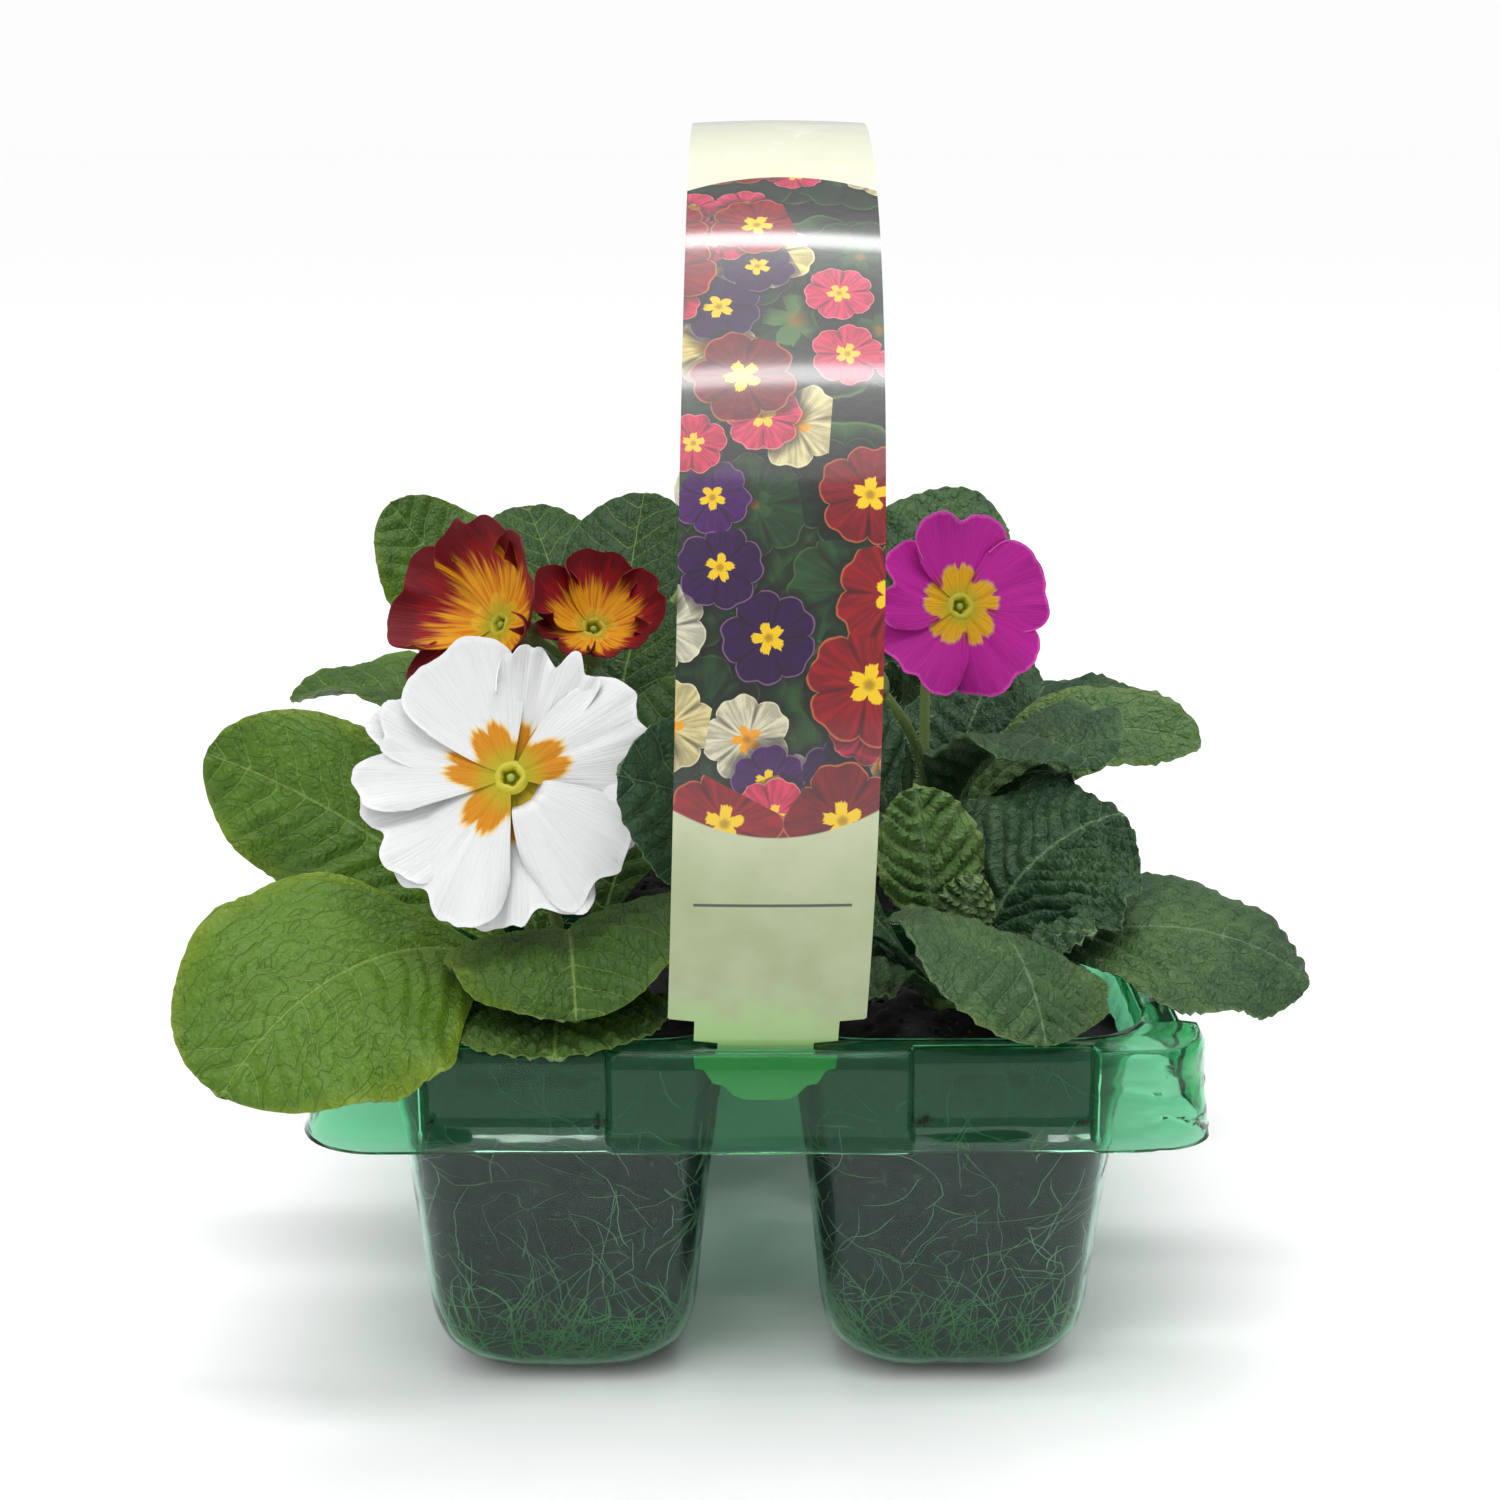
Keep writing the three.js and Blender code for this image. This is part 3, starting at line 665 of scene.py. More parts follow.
def moulded_pack():
    """The skirt and deck as one shell, joined to the cells' outer lofts, less their hollows, the
    drain holes and the two slots for the card."""
    outline = softened(SKIRT_TABLE, 22, 3)
    # The hollow under the shell is lower by half a sheet on the steep skirt and by a whole one
    # under the deck, and it runs out below the lip.
    drop = np.full(len(outline), SHEET / 2)
    drop[0], drop[-1] = 1.5, SHEET
    under = outline.copy()
    under[:, 0] -= drop
    pack = loft_solid("pack_sheet", skirt_rings(outline, 0))
    combined(pack, [loft_solid("under", skirt_rings(under, SHEET))], "DIFFERENCE")
    body = CELL_WALL.copy()
    body[-1, 0] = DECK - SHEET / 2
    lining = inset(CELL_WALL, SHEET)
    lining = lining[lining[:, 0] < DECK - 1.4]
    bend = np.linspace(0, np.pi / 2, 6)
    mouth = np.stack([
        DECK - MOUTH_ROUND + MOUTH_ROUND * np.sin(bend),
        lining[-1, 1] + 1.7 - MOUTH_ROUND * np.cos(bend),
        lining[-1, 2] + 1.7 - MOUTH_ROUND * np.cos(bend),
    ], -1)
    above = mouth[-1:] + [[SHEET, 0, 0]]
    lining = np.vstack([lining, mouth, above])
    combined(pack, [loft_solid(name, cell_rings(body, cell)) for name, cell in CELLS.items()], "UNION")
    cutters = [loft_solid(name, cell_rings(lining, cell)) for name, cell in CELLS.items()]
    drain = np.array([[-1.0, DRAIN_RADIUS, DRAIN_RADIUS], [2 * SHEET, DRAIN_RADIUS, DRAIN_RADIUS]])
    cutters += [loft_solid("drain", cell_rings(drain, cell, 24)) for cell in CELLS.values()]
    slot = np.array([[1, 1], [-1, 1], [-1, -1], [1, -1]]) * SLOT_HALF
    for y in (-PACK_DEPTH / 2 + SLOT_INSET, PACK_DEPTH / 2 - SLOT_INSET):
        ring = np.array([[(CARD_X + a, y + b, z) for a, b in slot] for z in (DECK - 2, DECK + 2)])
        cutters.append(loft_solid("slot", ring))
    return combined(pack, cutters, "DIFFERENCE")


def sheet_material():
    """Clear green plastic with a faint haze. The skirt and deck are thick and full in colour.
    The cells are drawn out thin, so they are nearly colourless, and their feet are greener
    again. Lamps shine on through it."""
    net, join = finish_material("clear_green_plastic", IOR=1.33, Transmission_Weight=0.985)
    place = net.place()
    _, _, z = net.parts(place)
    thick = net.step(z, 0.051, 0.0595)
    foot = net.step(z, 0.016, 0.0)
    cloud = mottled(net, place, 38.0)
    tone = net.mix(thick, colour(186, 222, 208), colour(112, 204, 154))
    tone = net.over(tone, foot, 0.8, colour(110, 204, 146))
    rough = 0.03 + cloud * 0.05
    lamp = net.output("Is Shadow Ray", "ShaderNodeLightPath")
    alpha = 1.0 - lamp * 0.85
    normal = net.bump(net.noise(place, 55.0, 2.0), 0.0016, 0.4)
    return join(Base_Color=tone, Alpha=alpha, Roughness=rough, Normal=normal)


pack = moulded_pack()
pack.data.shade_smooth()
pack.data.set_sharp_from_angle(angle=np.radians(40))
pack.data.materials.clear()
stand_for(pack, [sheet_material()], "sheet", "carry_pack")


# ---- soil and roots ----

# How far a plug's rim lies below its top.
SHOULDER = 1.6
PLUG_WALL = inset(CELL_WALL, SHEET + CLEAR)
PLUG_WALL = PLUG_WALL[PLUG_WALL[:, 0] < SOIL_TOP - SHOULDER]
# The usual radius of a plug, which turns a step along its wall into an angle.
PLUG_RADIUS = 27
# How low and how high roots grow, and how many a plug has. Those in front are seen through the
# plastic.
ROOTS_LOWEST, ROOTS_HIGHEST = 2.4, 66
ROOTS = {"front": 760, "middle": 360, "back": 350}


def soil_plug(cell, seed):
    """From the hole's floor up its wall, out over the lumpy top and down the plug's wall to its
    foot. Noise only draws the wall in, so it stays off the plastic."""
    rim = PLUG_WALL[-1]
    share = np.linspace(0.2, 1, 16)
    top = SOIL_TOP - SHOULDER * np.clip((share - 0.5) / 0.5, 0, 1) ** 1.6
    hole = np.array([[HOLE_FLOOR, 0.01, 0.01], [HOLE_FLOOR, HOLE_RADIUS, HOLE_RADIUS],
                     [SOIL_TOP - 1, HOLE_RADIUS, HOLE_RADIUS]])
    over = np.stack([top, rim[1] * share, rim[2] * share], -1)
    over[0, 1:] = HOLE_RADIUS + 0.2
    wall = PLUG_WALL[::-1][1:]
    foot = np.array([[wall[-1, 0], 5, 5], [wall[-1, 0], 0.01, 0.01]])
    rings = cell_rings(np.vstack([hole, over, wall, foot]), cell, 100)
    x, y, z = rings[..., 0], rings[..., 1], rings[..., 2]
    away = np.stack([x - cell[0], y - cell[1]], -1)
    lumps = 0.5 * drift(x, y, 2.1, seed) + 0.35 * drift(x, y, 0.9, seed + 1) + 0.6 * drift(x, y, 7, seed + 2)
    first, last = len(hole), len(hole) + len(over)
    rings[first:last, :, 2] += (lumps * 1.5)[first:last] - 0.9
    turn = np.arctan2(away[..., 1], away[..., 0]) * 30
    grain = 0.14 * (1 + drift(turn, z, 1.6, seed + 3)) + 0.18 * (1 + drift(turn, z, 5, seed + 4))
    rings[last - 1:-2, :, :2] -= (unit(away) * grain[..., None])[last - 1:-2]
    return patch(rings, grid_quads(*rings.shape[:2], around=True))


def roots(cell, seed, count, rows=10):
    """Thin roots over the plug's wall, each a walk of angle and height with gentle bends and a
    sharp one now and then. Half of them, at the foot, stand close and nearly upright like grass.
    The others are longer and run any way. A root's radius halves towards its end."""
    rng = np.random.default_rng(seed)
    each, steps = (count, 1), (count, rows)
    start = rng.uniform(0, 2 * np.pi, each)
    foot = rng.uniform(size=each) < 0.5
    level = np.where(foot, rng.uniform(ROOTS_LOWEST, 12, each), 7 + 52 * rng.uniform(size=each) ** 1.5)
    heading = np.where(foot, rng.normal(np.pi / 2, 0.55, each), rng.uniform(-np.pi, np.pi, each))
    bends = rng.normal(0, 0.24, steps)
    bends = bends + (rng.uniform(size=steps) > 0.9) * rng.normal(0, 1.1, steps)
    sway = heading + np.cumsum(bends, axis=1)
    step = np.where(foot, rng.uniform(0.6, 2.2, each), rng.uniform(0.7, 2.6, each))
    theta = start + np.cumsum(np.cos(sway) * step, axis=1) / PLUG_RADIUS
    z = np.clip(level + np.cumsum(np.sin(sway) * step, axis=1), ROOTS_LOWEST, ROOTS_HIGHEST)
    radius = rng.uniform(0.09, 0.17, each) * (1 + 1.1 * (rng.uniform(size=each) > 0.93))
    radius = radius * np.linspace(1, 0.5, rows)
    half = np.interp(z, PLUG_WALL[:, 0], PLUG_WALL[:, 1])
    corner = np.interp(z, PLUG_WALL[:, 0], PLUG_WALL[:, 2])
    out = wall_radius(theta, half, corner) - radius + 0.22
    away = facing_ring(theta)
    paths = cell + away * out[..., None] + UP * z[..., None]
    shade = np.broadcast_to(rng.uniform(0, 1, (count, 1, 1, 3)), (count, rows, 3, 3))
    return tubes(paths, away, radius, 3, tint=shade, finish=1)


def crumbs(places, sizes, seed):
    """Small lumps: a ball of few faces, each pushed out of round by its own random radii."""
    rng = np.random.default_rng(seed)
    count = len(places)
    rows, columns = 4, 6
    down = np.linspace(0, np.pi, rows)[:, None]
    around = np.arange(columns) / columns * 2 * np.pi
    ball = polar(np.sin(down), around, np.cos(down) + 0 * around)
    knobs = rng.uniform(0.55, 1.15, (count, rows, columns, 1))
    knobs[:, 0], knobs[:, -1] = knobs[:, 0, :1], knobs[:, -1, :1]
    stretch = rng.uniform(0.6, 1.2, (count, 1, 1, 3))
    points = places[:, None, None] + ball * knobs * stretch * np.asarray(sizes)[:, None, None, None]
    quads = grid_quads(rows, columns, around=True)
    quads = (quads + np.arange(count)[:, None, None] * rows * columns).reshape(-1, 4)
    shade = np.broadcast_to(rng.uniform(0, 1, (count, 1, 1, 3)), points.shape)
    return patch(points, quads, tint=shade)


def loose_soil(cell, seed, count=150):
    """Crumbs that lie on a plug's top, away from the crown."""
    rng = np.random.default_rng(seed)
    away = facing_ring(rng.uniform(0, 2 * np.pi, count))
    places = cell + away * (7 + 19 * rng.uniform(0, 1, (count, 1)) ** 0.6) + UP * (SOIL_TOP - 0.9)
    places[:, 2] -= 1.2 * np.clip((np.linalg.norm(places[:, :2] - cell[:2], axis=1) - 16) / 12, 0, 1)
    return crumbs(places, 0.35 + 0.8 * rng.uniform(0, 1, count) ** 3, seed)


def soil_material():
    """Damp peat: nearly black, with broad dusty patches and pale flecks. Crumbs are browner, each
    by its own tint."""
    net, join = finish_material("peat", Specular_IOR_Level=0.3)
    place = net.place()
    broad = mottled(net, place, 55.0)
    cloud = mottled(net, place, 110.0)
    own = net.part(0, net.read("tint"))
    tone = net.mix(cloud, colour(11, 10, 11), colour(36, 33, 34))
    tone = net.over(tone, broad, 0.4, colour(46, 44, 53))
    tone = net.over(tone, own, 0.5, colour(66, 48, 34))
    fleck = net.step(net.noise(place, 640.0, 0.0), 0.72, 0.8)
    tone = net.over(tone, fleck, 0.4, colour(120, 100, 78))
    rough = 0.95 - cloud * 0.25
    grain = net.noise(place, 420.0, 1.0) * 0.4 + net.noise(place, 180.0, 1.0)
    return join(Base_Color=tone, Roughness=rough, Normal=net.bump(grain, 0.0012, 0.6))


def root_material():
    """Young roots: grey green to greenish white, darker where soil clings, and a fuller green at
    the foot of the plug."""
    net, join = finish_material("roots", Roughness=0.6, Specular_IOR_Level=0.3)
    own = net.part(0, net.read("tint"))
    place = net.place()
    low = net.step(net.part(2, place), 0.034, 0.006)
    tone = net.mix(own, colour(134, 150, 124), colour(206, 220, 188))
    tone = net.over(tone, low, 0.8, colour(84, 196, 84))
    dirt = mottled(net, place, 60.0)
    tone = net.over(tone, dirt, 0.5, colour(64, 66, 54))
    return join(Base_Color=tone)


def spilt_soil():
    """Crumbs that fell on the ledges of the skirt's panels and on the deck between the cells."""
    rng = np.random.default_rng(77)
    front = -PACK_DEPTH / 2 + 3.6
    ledge = [(28.6, 9), (-28.4, 6), (57.4, 5), (-57.5, 3)]
    places = [np.stack([x + rng.normal(0, 0.9, n), np.full(n, front) + rng.uniform(-1.2, 0.4, n),
                        DECK - 13.6 + rng.uniform(0, 0.8, n)], -1) for x, n in ledge]
    n = 60
    strip = np.stack([rng.uniform(-60, 60, n), rng.choice([-PITCH / 2, PITCH / 2], n) + rng.normal(0, 0.8, n),
                      np.full(n, DECK + 0.25)], -1)
    aisle = np.stack([rng.normal(0, 0.8, n), rng.uniform(-100, 100, n), np.full(n, DECK + 0.25)], -1)
    places = np.concatenate(places + [strip, aisle])
    return crumbs(places, rng.uniform(0.2, 0.62, len(places)), 78)


PEAT, ROOT = soil_material(), root_material()
for number, (name, cell) in enumerate(CELLS.items()):
    count = ROOTS[name.split("_")[0]]
    plug = [soil_plug(cell, 10 * number), roots(cell, 100 + number, count), loose_soil(cell, 200 + number)]
    if name == "front_left":
        plug.append(spilt_soil())
    stand_for(mesh_object(f"peat_{name}", plug, 80), [PEAT, ROOT], "soil", f"soil_{name}")


# ---- leaves ----

# Each leaf: heading, length, width, the climb it starts with and the one it ends with, the roll
# of its blade, the fold of its halves, and how light and yellow it is, partly from how old it is and
# partly painted light and shade for where it stands among the others. Angles are in degrees.
LEAVES = {
    "front_left": [
        (168, 80, 36, 50, 16, -66, 1, 0.62), (224, 82, 54, 51, -51, -29, 0, 0.78),
        (277, 54, 46, 84, -55, 12, 8, 0.47), (272, 42, 42, 34, -23, 2, 2, 0.36),
        (30, 64, 28, 74, 58, 20, 8, 0.3), (130, 56, 30, 70, 40, 0, 8, 0.4),
        (340, 44, 28, 55, 5, 20, 8, 0.35), (300, 40, 26, 62, 0, 10, 8, 0.3),
    ],
    "front_right": [
        (120, 38, 24, 80, 70, -10, 16, 0.7), (20, 48, 46, 86, 6, 20, 0, 0.12),
        (-2, 69, 46, 44, -38, 16, -3, 0.32), (284, 60, 46, 80, -62, -24, -4, 0.4),
        (285, 25, 13, 88, 80, 0, 12, 1.0), (330, 30, 20, 60, 10, 20, 8, 0.3),
        (215, 44, 30, 50, -20, -20, 8, 0.25), (213, 88, 36, 57, 18, -80, -3, 0.16),
    ],
    "middle_left": [
        (179, 82, 35, 86, -18, -4, 18, 0.45), (235, 58, 34, 72, 15, -20, 8, 0.3),
        (130, 58, 34, 70, 30, 0, 8, 0.25), (70, 66, 36, 76, 46, 0, 8, 0.2),
        (320, 52, 30, 66, 20, 20, 8, 0.15), (275, 46, 30, 68, 10, 0, 8, 0.2),
    ],
    "middle_right": [
        (298, 80, 37, 88, -20, 8, 14, 0.22), (-10, 73, 24, 84, -22, 40, 9, 0.55),
        (215, 50, 32, 70, 10, -20, 8, 0.12), (290, 58, 36, 65, -10, 20, 8, 0.1),
        (140, 62, 34, 72, 36, 0, 8, 0.15), (60, 58, 32, 72, 30, 0, 8, 0.15),
    ],
    "back_left": [
        (165, 86, 38, 60, 48, -45, 8, 0.5), (112, 86, 42, 67, 29, 0, 8, 0.22),
        (80, 82, 40, 72, 40, 0, 8, 0.12), (200, 54, 32, 40, -10, -20, 8, 0.25),
        (255, 54, 32, 78, 30, 0, 8, 0.15), (325, 52, 32, 65, 20, 20, 8, 0.15),
    ],
    "back_right": [
        (74, 86, 42, 74, 34, 0, 8, 0.3), (15, 72, 36, 38, -14, 15, 8, 0.2),
        (330, 62, 34, 50, 5, 20, 8, 0.15), (104, 56, 34, 62, 20, 0, 8, 0.25),
        (265, 52, 32, 72, 30, 0, 8, 0.15), (200, 48, 30, 58, 10, -20, 8, 0.2),
    ],
}
# How far from the plant's middle a leaf starts.
LEAF_START = 4
# The shares of a leaf's length at which its stalk ends, it is widest and its roll is complete,
# and the stalk's width as a share of the blade's.
PETIOLE_END = 0.15
WIDEST = 0.62
ROLL_END = 0.45
PETIOLE_SHARE = 0.15
# How deeply the leaves of each side's plants are quilted, and how far their teeth stand out.
QUILTING = {"left": 1.15, "right": 1.5}
TEETH = {"left": 0.35, "right": 1.0}
# Half the thickness of a leaf between its veins.
LEAF_SKIN = 0.2


def leaf_frame(cell, row, s):
    """Where the midrib is at each share s of a leaf's length, and the directions to the side and
    off the blade there. The midrib climbs at `rise`, which changes evenly to `fall`, and the
    blade rolls about it by `roll` over the first part."""
    heading, length, _, rise, fall, roll, _, _ = row
    a, b = np.radians(rise), np.radians(fall - rise)
    climb = a + b * s
    ahead = facing(heading, 0)
    level = np.array([-ahead[1], ahead[0], 0.0])
    run, lift = (np.sin(climb) - np.sin(a)) / b, (np.cos(a) - np.cos(climb)) / b
    start = cell + UP * (CROWN_TOP - 2)
    place = start + ahead * (LEAF_START + length * run[:, None]) + UP * length * lift[:, None]
    along = ahead * np.cos(climb)[:, None] + UP * np.sin(climb)[:, None]
    turn = (np.radians(roll) * eased(s / ROLL_END))[:, None]
    side = level * np.cos(turn) + np.cross(along, level) * np.sin(turn)
    return place, side, np.cross(along, side)


def leaf(cell, row, seed, quilt, toothing, fine):
    """A primrose leaf. The half width eases from a winged stalk to its widest and closes in an
    ellipse, with small rounded teeth on a slow scallop. Off the blade stand the fold of its two
    halves, the ruffled margin, and the quilting: the tissue rises between the midrib, the side
    veins and the cross veins, and is drawn down along them. Midrib and side veins stand out
    below."""
    _, length, width, _, _, _, fold, tone = row
    rows, columns = int(length * fine) + 14, 2 * int(width * 0.42 * fine) + 9
    # Rows lie closer together towards the tip.
    t = np.linspace(0, 1, rows)
    rounding = np.sin(np.clip(t - 0.6, 0, 1) / 0.4 * np.pi / 2)
    s = np.where(t < 0.6, t / 0.6 * WIDEST, WIDEST + (1 - WIDEST) * rounding)
    place, side, normal = leaf_frame(cell, row, s)
    u = np.linspace(-1, 1, columns)
    u = np.sign(u) * np.abs(u) ** 0.92
    s = s[:, None]
    grown = PETIOLE_SHARE + (1 - PETIOLE_SHARE) * eased((s - PETIOLE_END) / (WIDEST - PETIOLE_END))
    tip = np.sqrt(np.maximum(1 - (np.maximum(s - WIDEST, 0) / (1 - WIDEST)) ** 2, 0))
    slow = np.cos(7 * np.pi * s)
    y = length * s
    teeth = np.abs(np.sin(np.pi * (y / 2.2 + 0.25 * drift(y, seed, 9, seed)))) ** 0.7 - 0.7
    half = width / 2 * grown * tip * (0.98 + 0.025 * slow * grown)
    half = half + toothing * teeth * grown * tip * np.abs(u) ** 6
    x = half * u
    reach = np.abs(x)
    wx = x + 1.3 * drift(x, y, 9, seed + 1) + 0.5 * drift(x, y, 3.5, seed + 5)
    wy = y + 1.5 * drift(x, y, 11, seed + 2) + 0.7 * drift(x, y, 4, seed + 6)
    gap = 2.0 + 0.042 * length
    quilt = quilt * np.clip(62 / length, 0.85, 1.5)
    phase = (wy - 0.62 * np.abs(wx) - 0.010 * wx ** 2) / gap + 0.25 * np.tanh(x / 3)
    crossing = np.abs(wx) / (0.62 * gap) + 0.9 * drift(phase * 3.3, x, 1.6, seed + 3)
    from_side = np.abs(phase - np.round(phase)) * gap
    furrow, seam = 0.5 - 0.5 * np.cos(2 * np.pi * phase), 0.5 - 0.5 * np.cos(2 * np.pi * crossing)
    swell = 0.8 * furrow ** 0.7 + 0.26 * furrow * seam + 0.2 * drift(x, y, 2.4, seed + 4)
    trough = np.exp(-(reach / (0.8 + 0.9 * (1 - s))) ** 2)
    body = eased((s - 0.1) / 0.3) * (1 - 0.5 * np.abs(u) ** 4)
    relief = quilt * body * (swell - 0.6) * (1 - trough) - 0.8 * trough * (1 - 0.6 * s)
    slant = np.abs(u) * np.sin(np.radians(fold)) + 0.06 * grown * slow * u ** 4 * np.sign(u)
    flutter = 0.05 * u ** 2 * np.sin(2 * np.pi * 4.3 * s + seed + 1.5 * np.sign(u)) * grown
    sag = -0.10 * grown * u ** 4
    off = half * (slant + flutter + sag) + relief
    out = x * np.cos(np.radians(fold))
    grid = place[:, None] + side[:, None] * out[..., None] + normal[:, None] * off[..., None]
    rib = 1.3 * np.exp(-(reach / 1.0) ** 2) * (1 - 0.75 * s) + 0.35 * np.exp(-(from_side / 0.6) ** 2) * body
    chart = np.stack([(x + 37 * (seed % 7)) / 100, y / 100 + 0 * x], -1)
    margin = 1 - np.abs(u) * np.ones_like(x)
    ribs = np.stack([phase, crossing, reach], -1)
    # The tint's first number is the leaf's lightness: partly how old it is, partly painted light and shade.
    tint = np.stack([np.full_like(x, tone), 0 * x, margin * 0.98], -1)
    return slab(grid, LEAF_SKIN, LEAF_SKIN + rib, chart, ribs, tint)


# ---- stalks, cups and buds ----

def stalk_path(cell, end, axis, rows=40):
    """A cubic Bezier that leaves the crown upwards and arrives along the axis."""
    start = cell + UP * (CROWN_TOP - 3)
    reach = np.linalg.norm(end - start)
    t = np.linspace(0, 1, rows)[:, None]
    a, b = start + UP * 0.45 * reach, end - axis * 0.35 * reach
    return (1 - t) ** 3 * start + 3 * t * (1 - t) ** 2 * a + 3 * t ** 2 * (1 - t) * b + t ** 3 * end


def bristles(places, directions, lengths, seed):
    """Fine hairs, each a three-sided spike that bends a little."""
    rng = np.random.default_rng(seed)
    bend = directions + rng.normal(0, 0.35, directions.shape)
    t = np.linspace(0, 1, 3)[:, None]
    swerve = (bend - directions)[:, None] * t ** 2 * 0.6
    paths = places[:, None] + lengths[:, None, None] * (directions[:, None] * t + swerve)
    hint, radius = np.array([0.31, 0.52, 0.79]), np.array([0.05, 0.045, 0.01])
    return tubes(paths, hint, radius, 3, tint=(0.6, 0, 0), finish=2)


def stalk(path, seed, count=260):
    """A round flower stalk, a little thicker at its foot, with its fuzz: `count` hairs at random
    places along it and about it."""
    rng = np.random.default_rng(seed)
    rows = len(path)
    radius = STALK_RADIUS * (1.15 - 0.2 * np.linspace(0, 1, rows))
    at = rng.integers(2, rows - 1, count)
    along = unit(np.gradient(path, axis=0))[at]
    away = unit(np.cross(along, rng.normal(size=(count, 3))))
    places = path[at] + (path[at - 1] - path[at]) * rng.uniform(0, 1, (count, 1))
    places = places + away * radius[at, None] * 0.9
    hairs = bristles(places, unit(away + 0.2 * along), rng.uniform(0.5, 1.3, count), seed)
    return [tubes(path[None], np.array([0.6, 0.5, 0.62]), radius, 12, tint=(0.5, 0, 0), finish=1), hairs]


def cup(eye, axis, seed, count=160):
    """The calyx: a ribbed green cup about the flower's tube, with five pointed teeth. Going up
    the outside its radius swells from the stalk, and the rim's height follows the teeth. The
    inside goes straight down again to the cup's floor."""
    columns = 50
    angle = np.arange(columns) / columns * 2 * np.pi
    inner, floor, rim = TUBE_RADIUS + CLEAR, -TUBE_LENGTH - CLEAR, -3.5
    t = np.linspace(0, 1, 16)[:, None]
    tooth = 2.6 * (1 - np.abs(((angle / (2 * np.pi) * 5) % 1) * 2 - 1)) ** 1.2 - 0.8
    outside = STALK_RADIUS * 0.9 + (inner + 1 - STALK_RADIUS * 0.9) * eased(t * 2.4) + 0.3 * np.sin(np.pi * t)
    outside = outside + 0.28 * np.cos(5 * angle) * eased(t * 2)
    height = floor - 3 + (rim - floor + 3 + tooth) * t
    inside = np.full((8, columns), inner + 0.1)
    down = np.maximum(height[::-1], floor)[:8]
    radius, heights = np.concatenate([outside, inside]), np.concatenate([height, down])
    points = polar(radius, angle, heights)
    surface = patch(points, grid_quads(*radius.shape, around=True)[:, ::-1], tint=(0.45, 0, 0), finish=1)
    rng = np.random.default_rng(seed)
    theta, h = rng.uniform(0, 2 * np.pi, count), rng.uniform(floor, rim, count)
    away = facing_ring(theta)
    hairs = bristles(away * (inner + 1.0) + UP * h[:, None], away, rng.uniform(0.4, 0.9, count), seed)
    turn = turn_from_up(axis)
    return [placed(surface, turn, eye), placed(hairs, turn, eye)]


# Each bud: its plant, the place of its middle from the deck, and the angles it faces.
BUDS = [
    ("middle_right", (23, -22, 47), 200, 50),
]


def rolled_petals(angle, share):
    """Five ridges that turn with height, like petals rolled together."""
    return 0.3 * np.cos(5 * angle + 7 * share) * np.sin(np.pi * share) * (share > 0.05)


def sepal_ribs(angle, share):
    """Five straight ribs, strongest half way up."""
    return 0.22 * np.cos(5 * angle) * np.sin(np.pi * share)


def bud(place, axis):
    """A pointed bud: a ribbed green cup below, and petals rolled in a spiral above it. Both
    follow nearly the same ellipse, and the cup stops before the tip."""
    t = np.linspace(0, 1, 26)
    z = -6 + 12 * t
    body = 2.8 * np.sqrt(np.maximum(1 - (z / 6) ** 2, 0)) ** 0.9
    petals = np.stack([np.maximum(body * 0.86, 0.01), z], -1)
    low = t < 0.62
    sepals = np.stack([np.maximum(body[low] * 1.02, 0.01), z[low]], -1)
    surfaces = [
        revolved(petals, 40, rolled_petals, tint=(0.9, 0, 0.5), finish=1),
        revolved(sepals, 40, sepal_ribs, tint=(0.4, 0, 0), finish=1),
    ]
    turn = turn_from_up(axis)
    return [placed(surface, turn, place) for surface in surfaces]


def crown(cell, seed):
    """The rootstock in its hole: a knobbly dome of old leaf bases. Its wall goes straight up and
    closes in a quarter of an ellipse."""
    foot, shoulder = HOLE_FLOOR + CLEAR, CROWN_TOP - 3
    dome = np.linspace(0, np.pi / 2, 9)
    radius = np.concatenate([[0.01], np.full(12, HOLE_RADIUS - CLEAR), 5.6 * np.cos(dome) + 0.01])
    height = np.concatenate([[foot], np.linspace(foot, shoulder, 12), shoulder + 3 * np.sin(dome)])

    def knobs(angle, share):
        return -0.8 * np.abs(np.sin(4 * angle + 9 * share + seed)) * (share > 0.1) * (1 - share)

    base = revolved(np.stack([radius, height], -1), 36, knobs, tint=(0.25, 0, 0.2), finish=1)
    return placed(base, np.eye(3), cell)


# ---- blooms ----

# Each petal: its angle about the eye, its length and its spread as shares of the usual ones, and
# how ragged it is. A petal that is folded under has a fifth number, where it starts.
FIVE_PETALS = [(28.8 + 72 * i, 0.965 + 0.035 * np.sin(2.1 * i), 1.06, 1.0) for i in range(5)]
WHITE_REAR_PETALS = [
    (69, 0.90, 0.72, 1.7), (143, 0.90, 0.78, 0.9), (203, 0.98, 0.84, 1.0), (280, 0.96, 0.9, 1.0),
    (355, 0.86, 0.84, 1.5),
]
WHITE_FRONT_PETALS = [
    (25, 0.93, 0.86, 1.1), (119, 0.9, 0.84, 0.5), (170, 1.0, 0.74, 0.9), (236, 0.98, 0.82, 0.8),
    (313, 0.93, 0.86, 1.3, 4.4),
]
CRIMSON_LEFT_PETALS = [
    (62, 0.94, 0.98, 0.9), (134, 1.04, 1.04, 0.9), (206, 1.0, 1.04, 0.9), (278, 0.94, 1.06, 1.0),
    (350, 0.94, 1.06, 1.1),
]
CRIMSON_RIGHT_PETALS = [
    (18, 1.06, 1.06, 1.0), (88, 1.0, 1.1, 1.0), (160, 1.0, 1.08, 1.0), (232, 0.96, 1.06, 1.0),
    (306, 0.94, 1.06, 1.2),
]
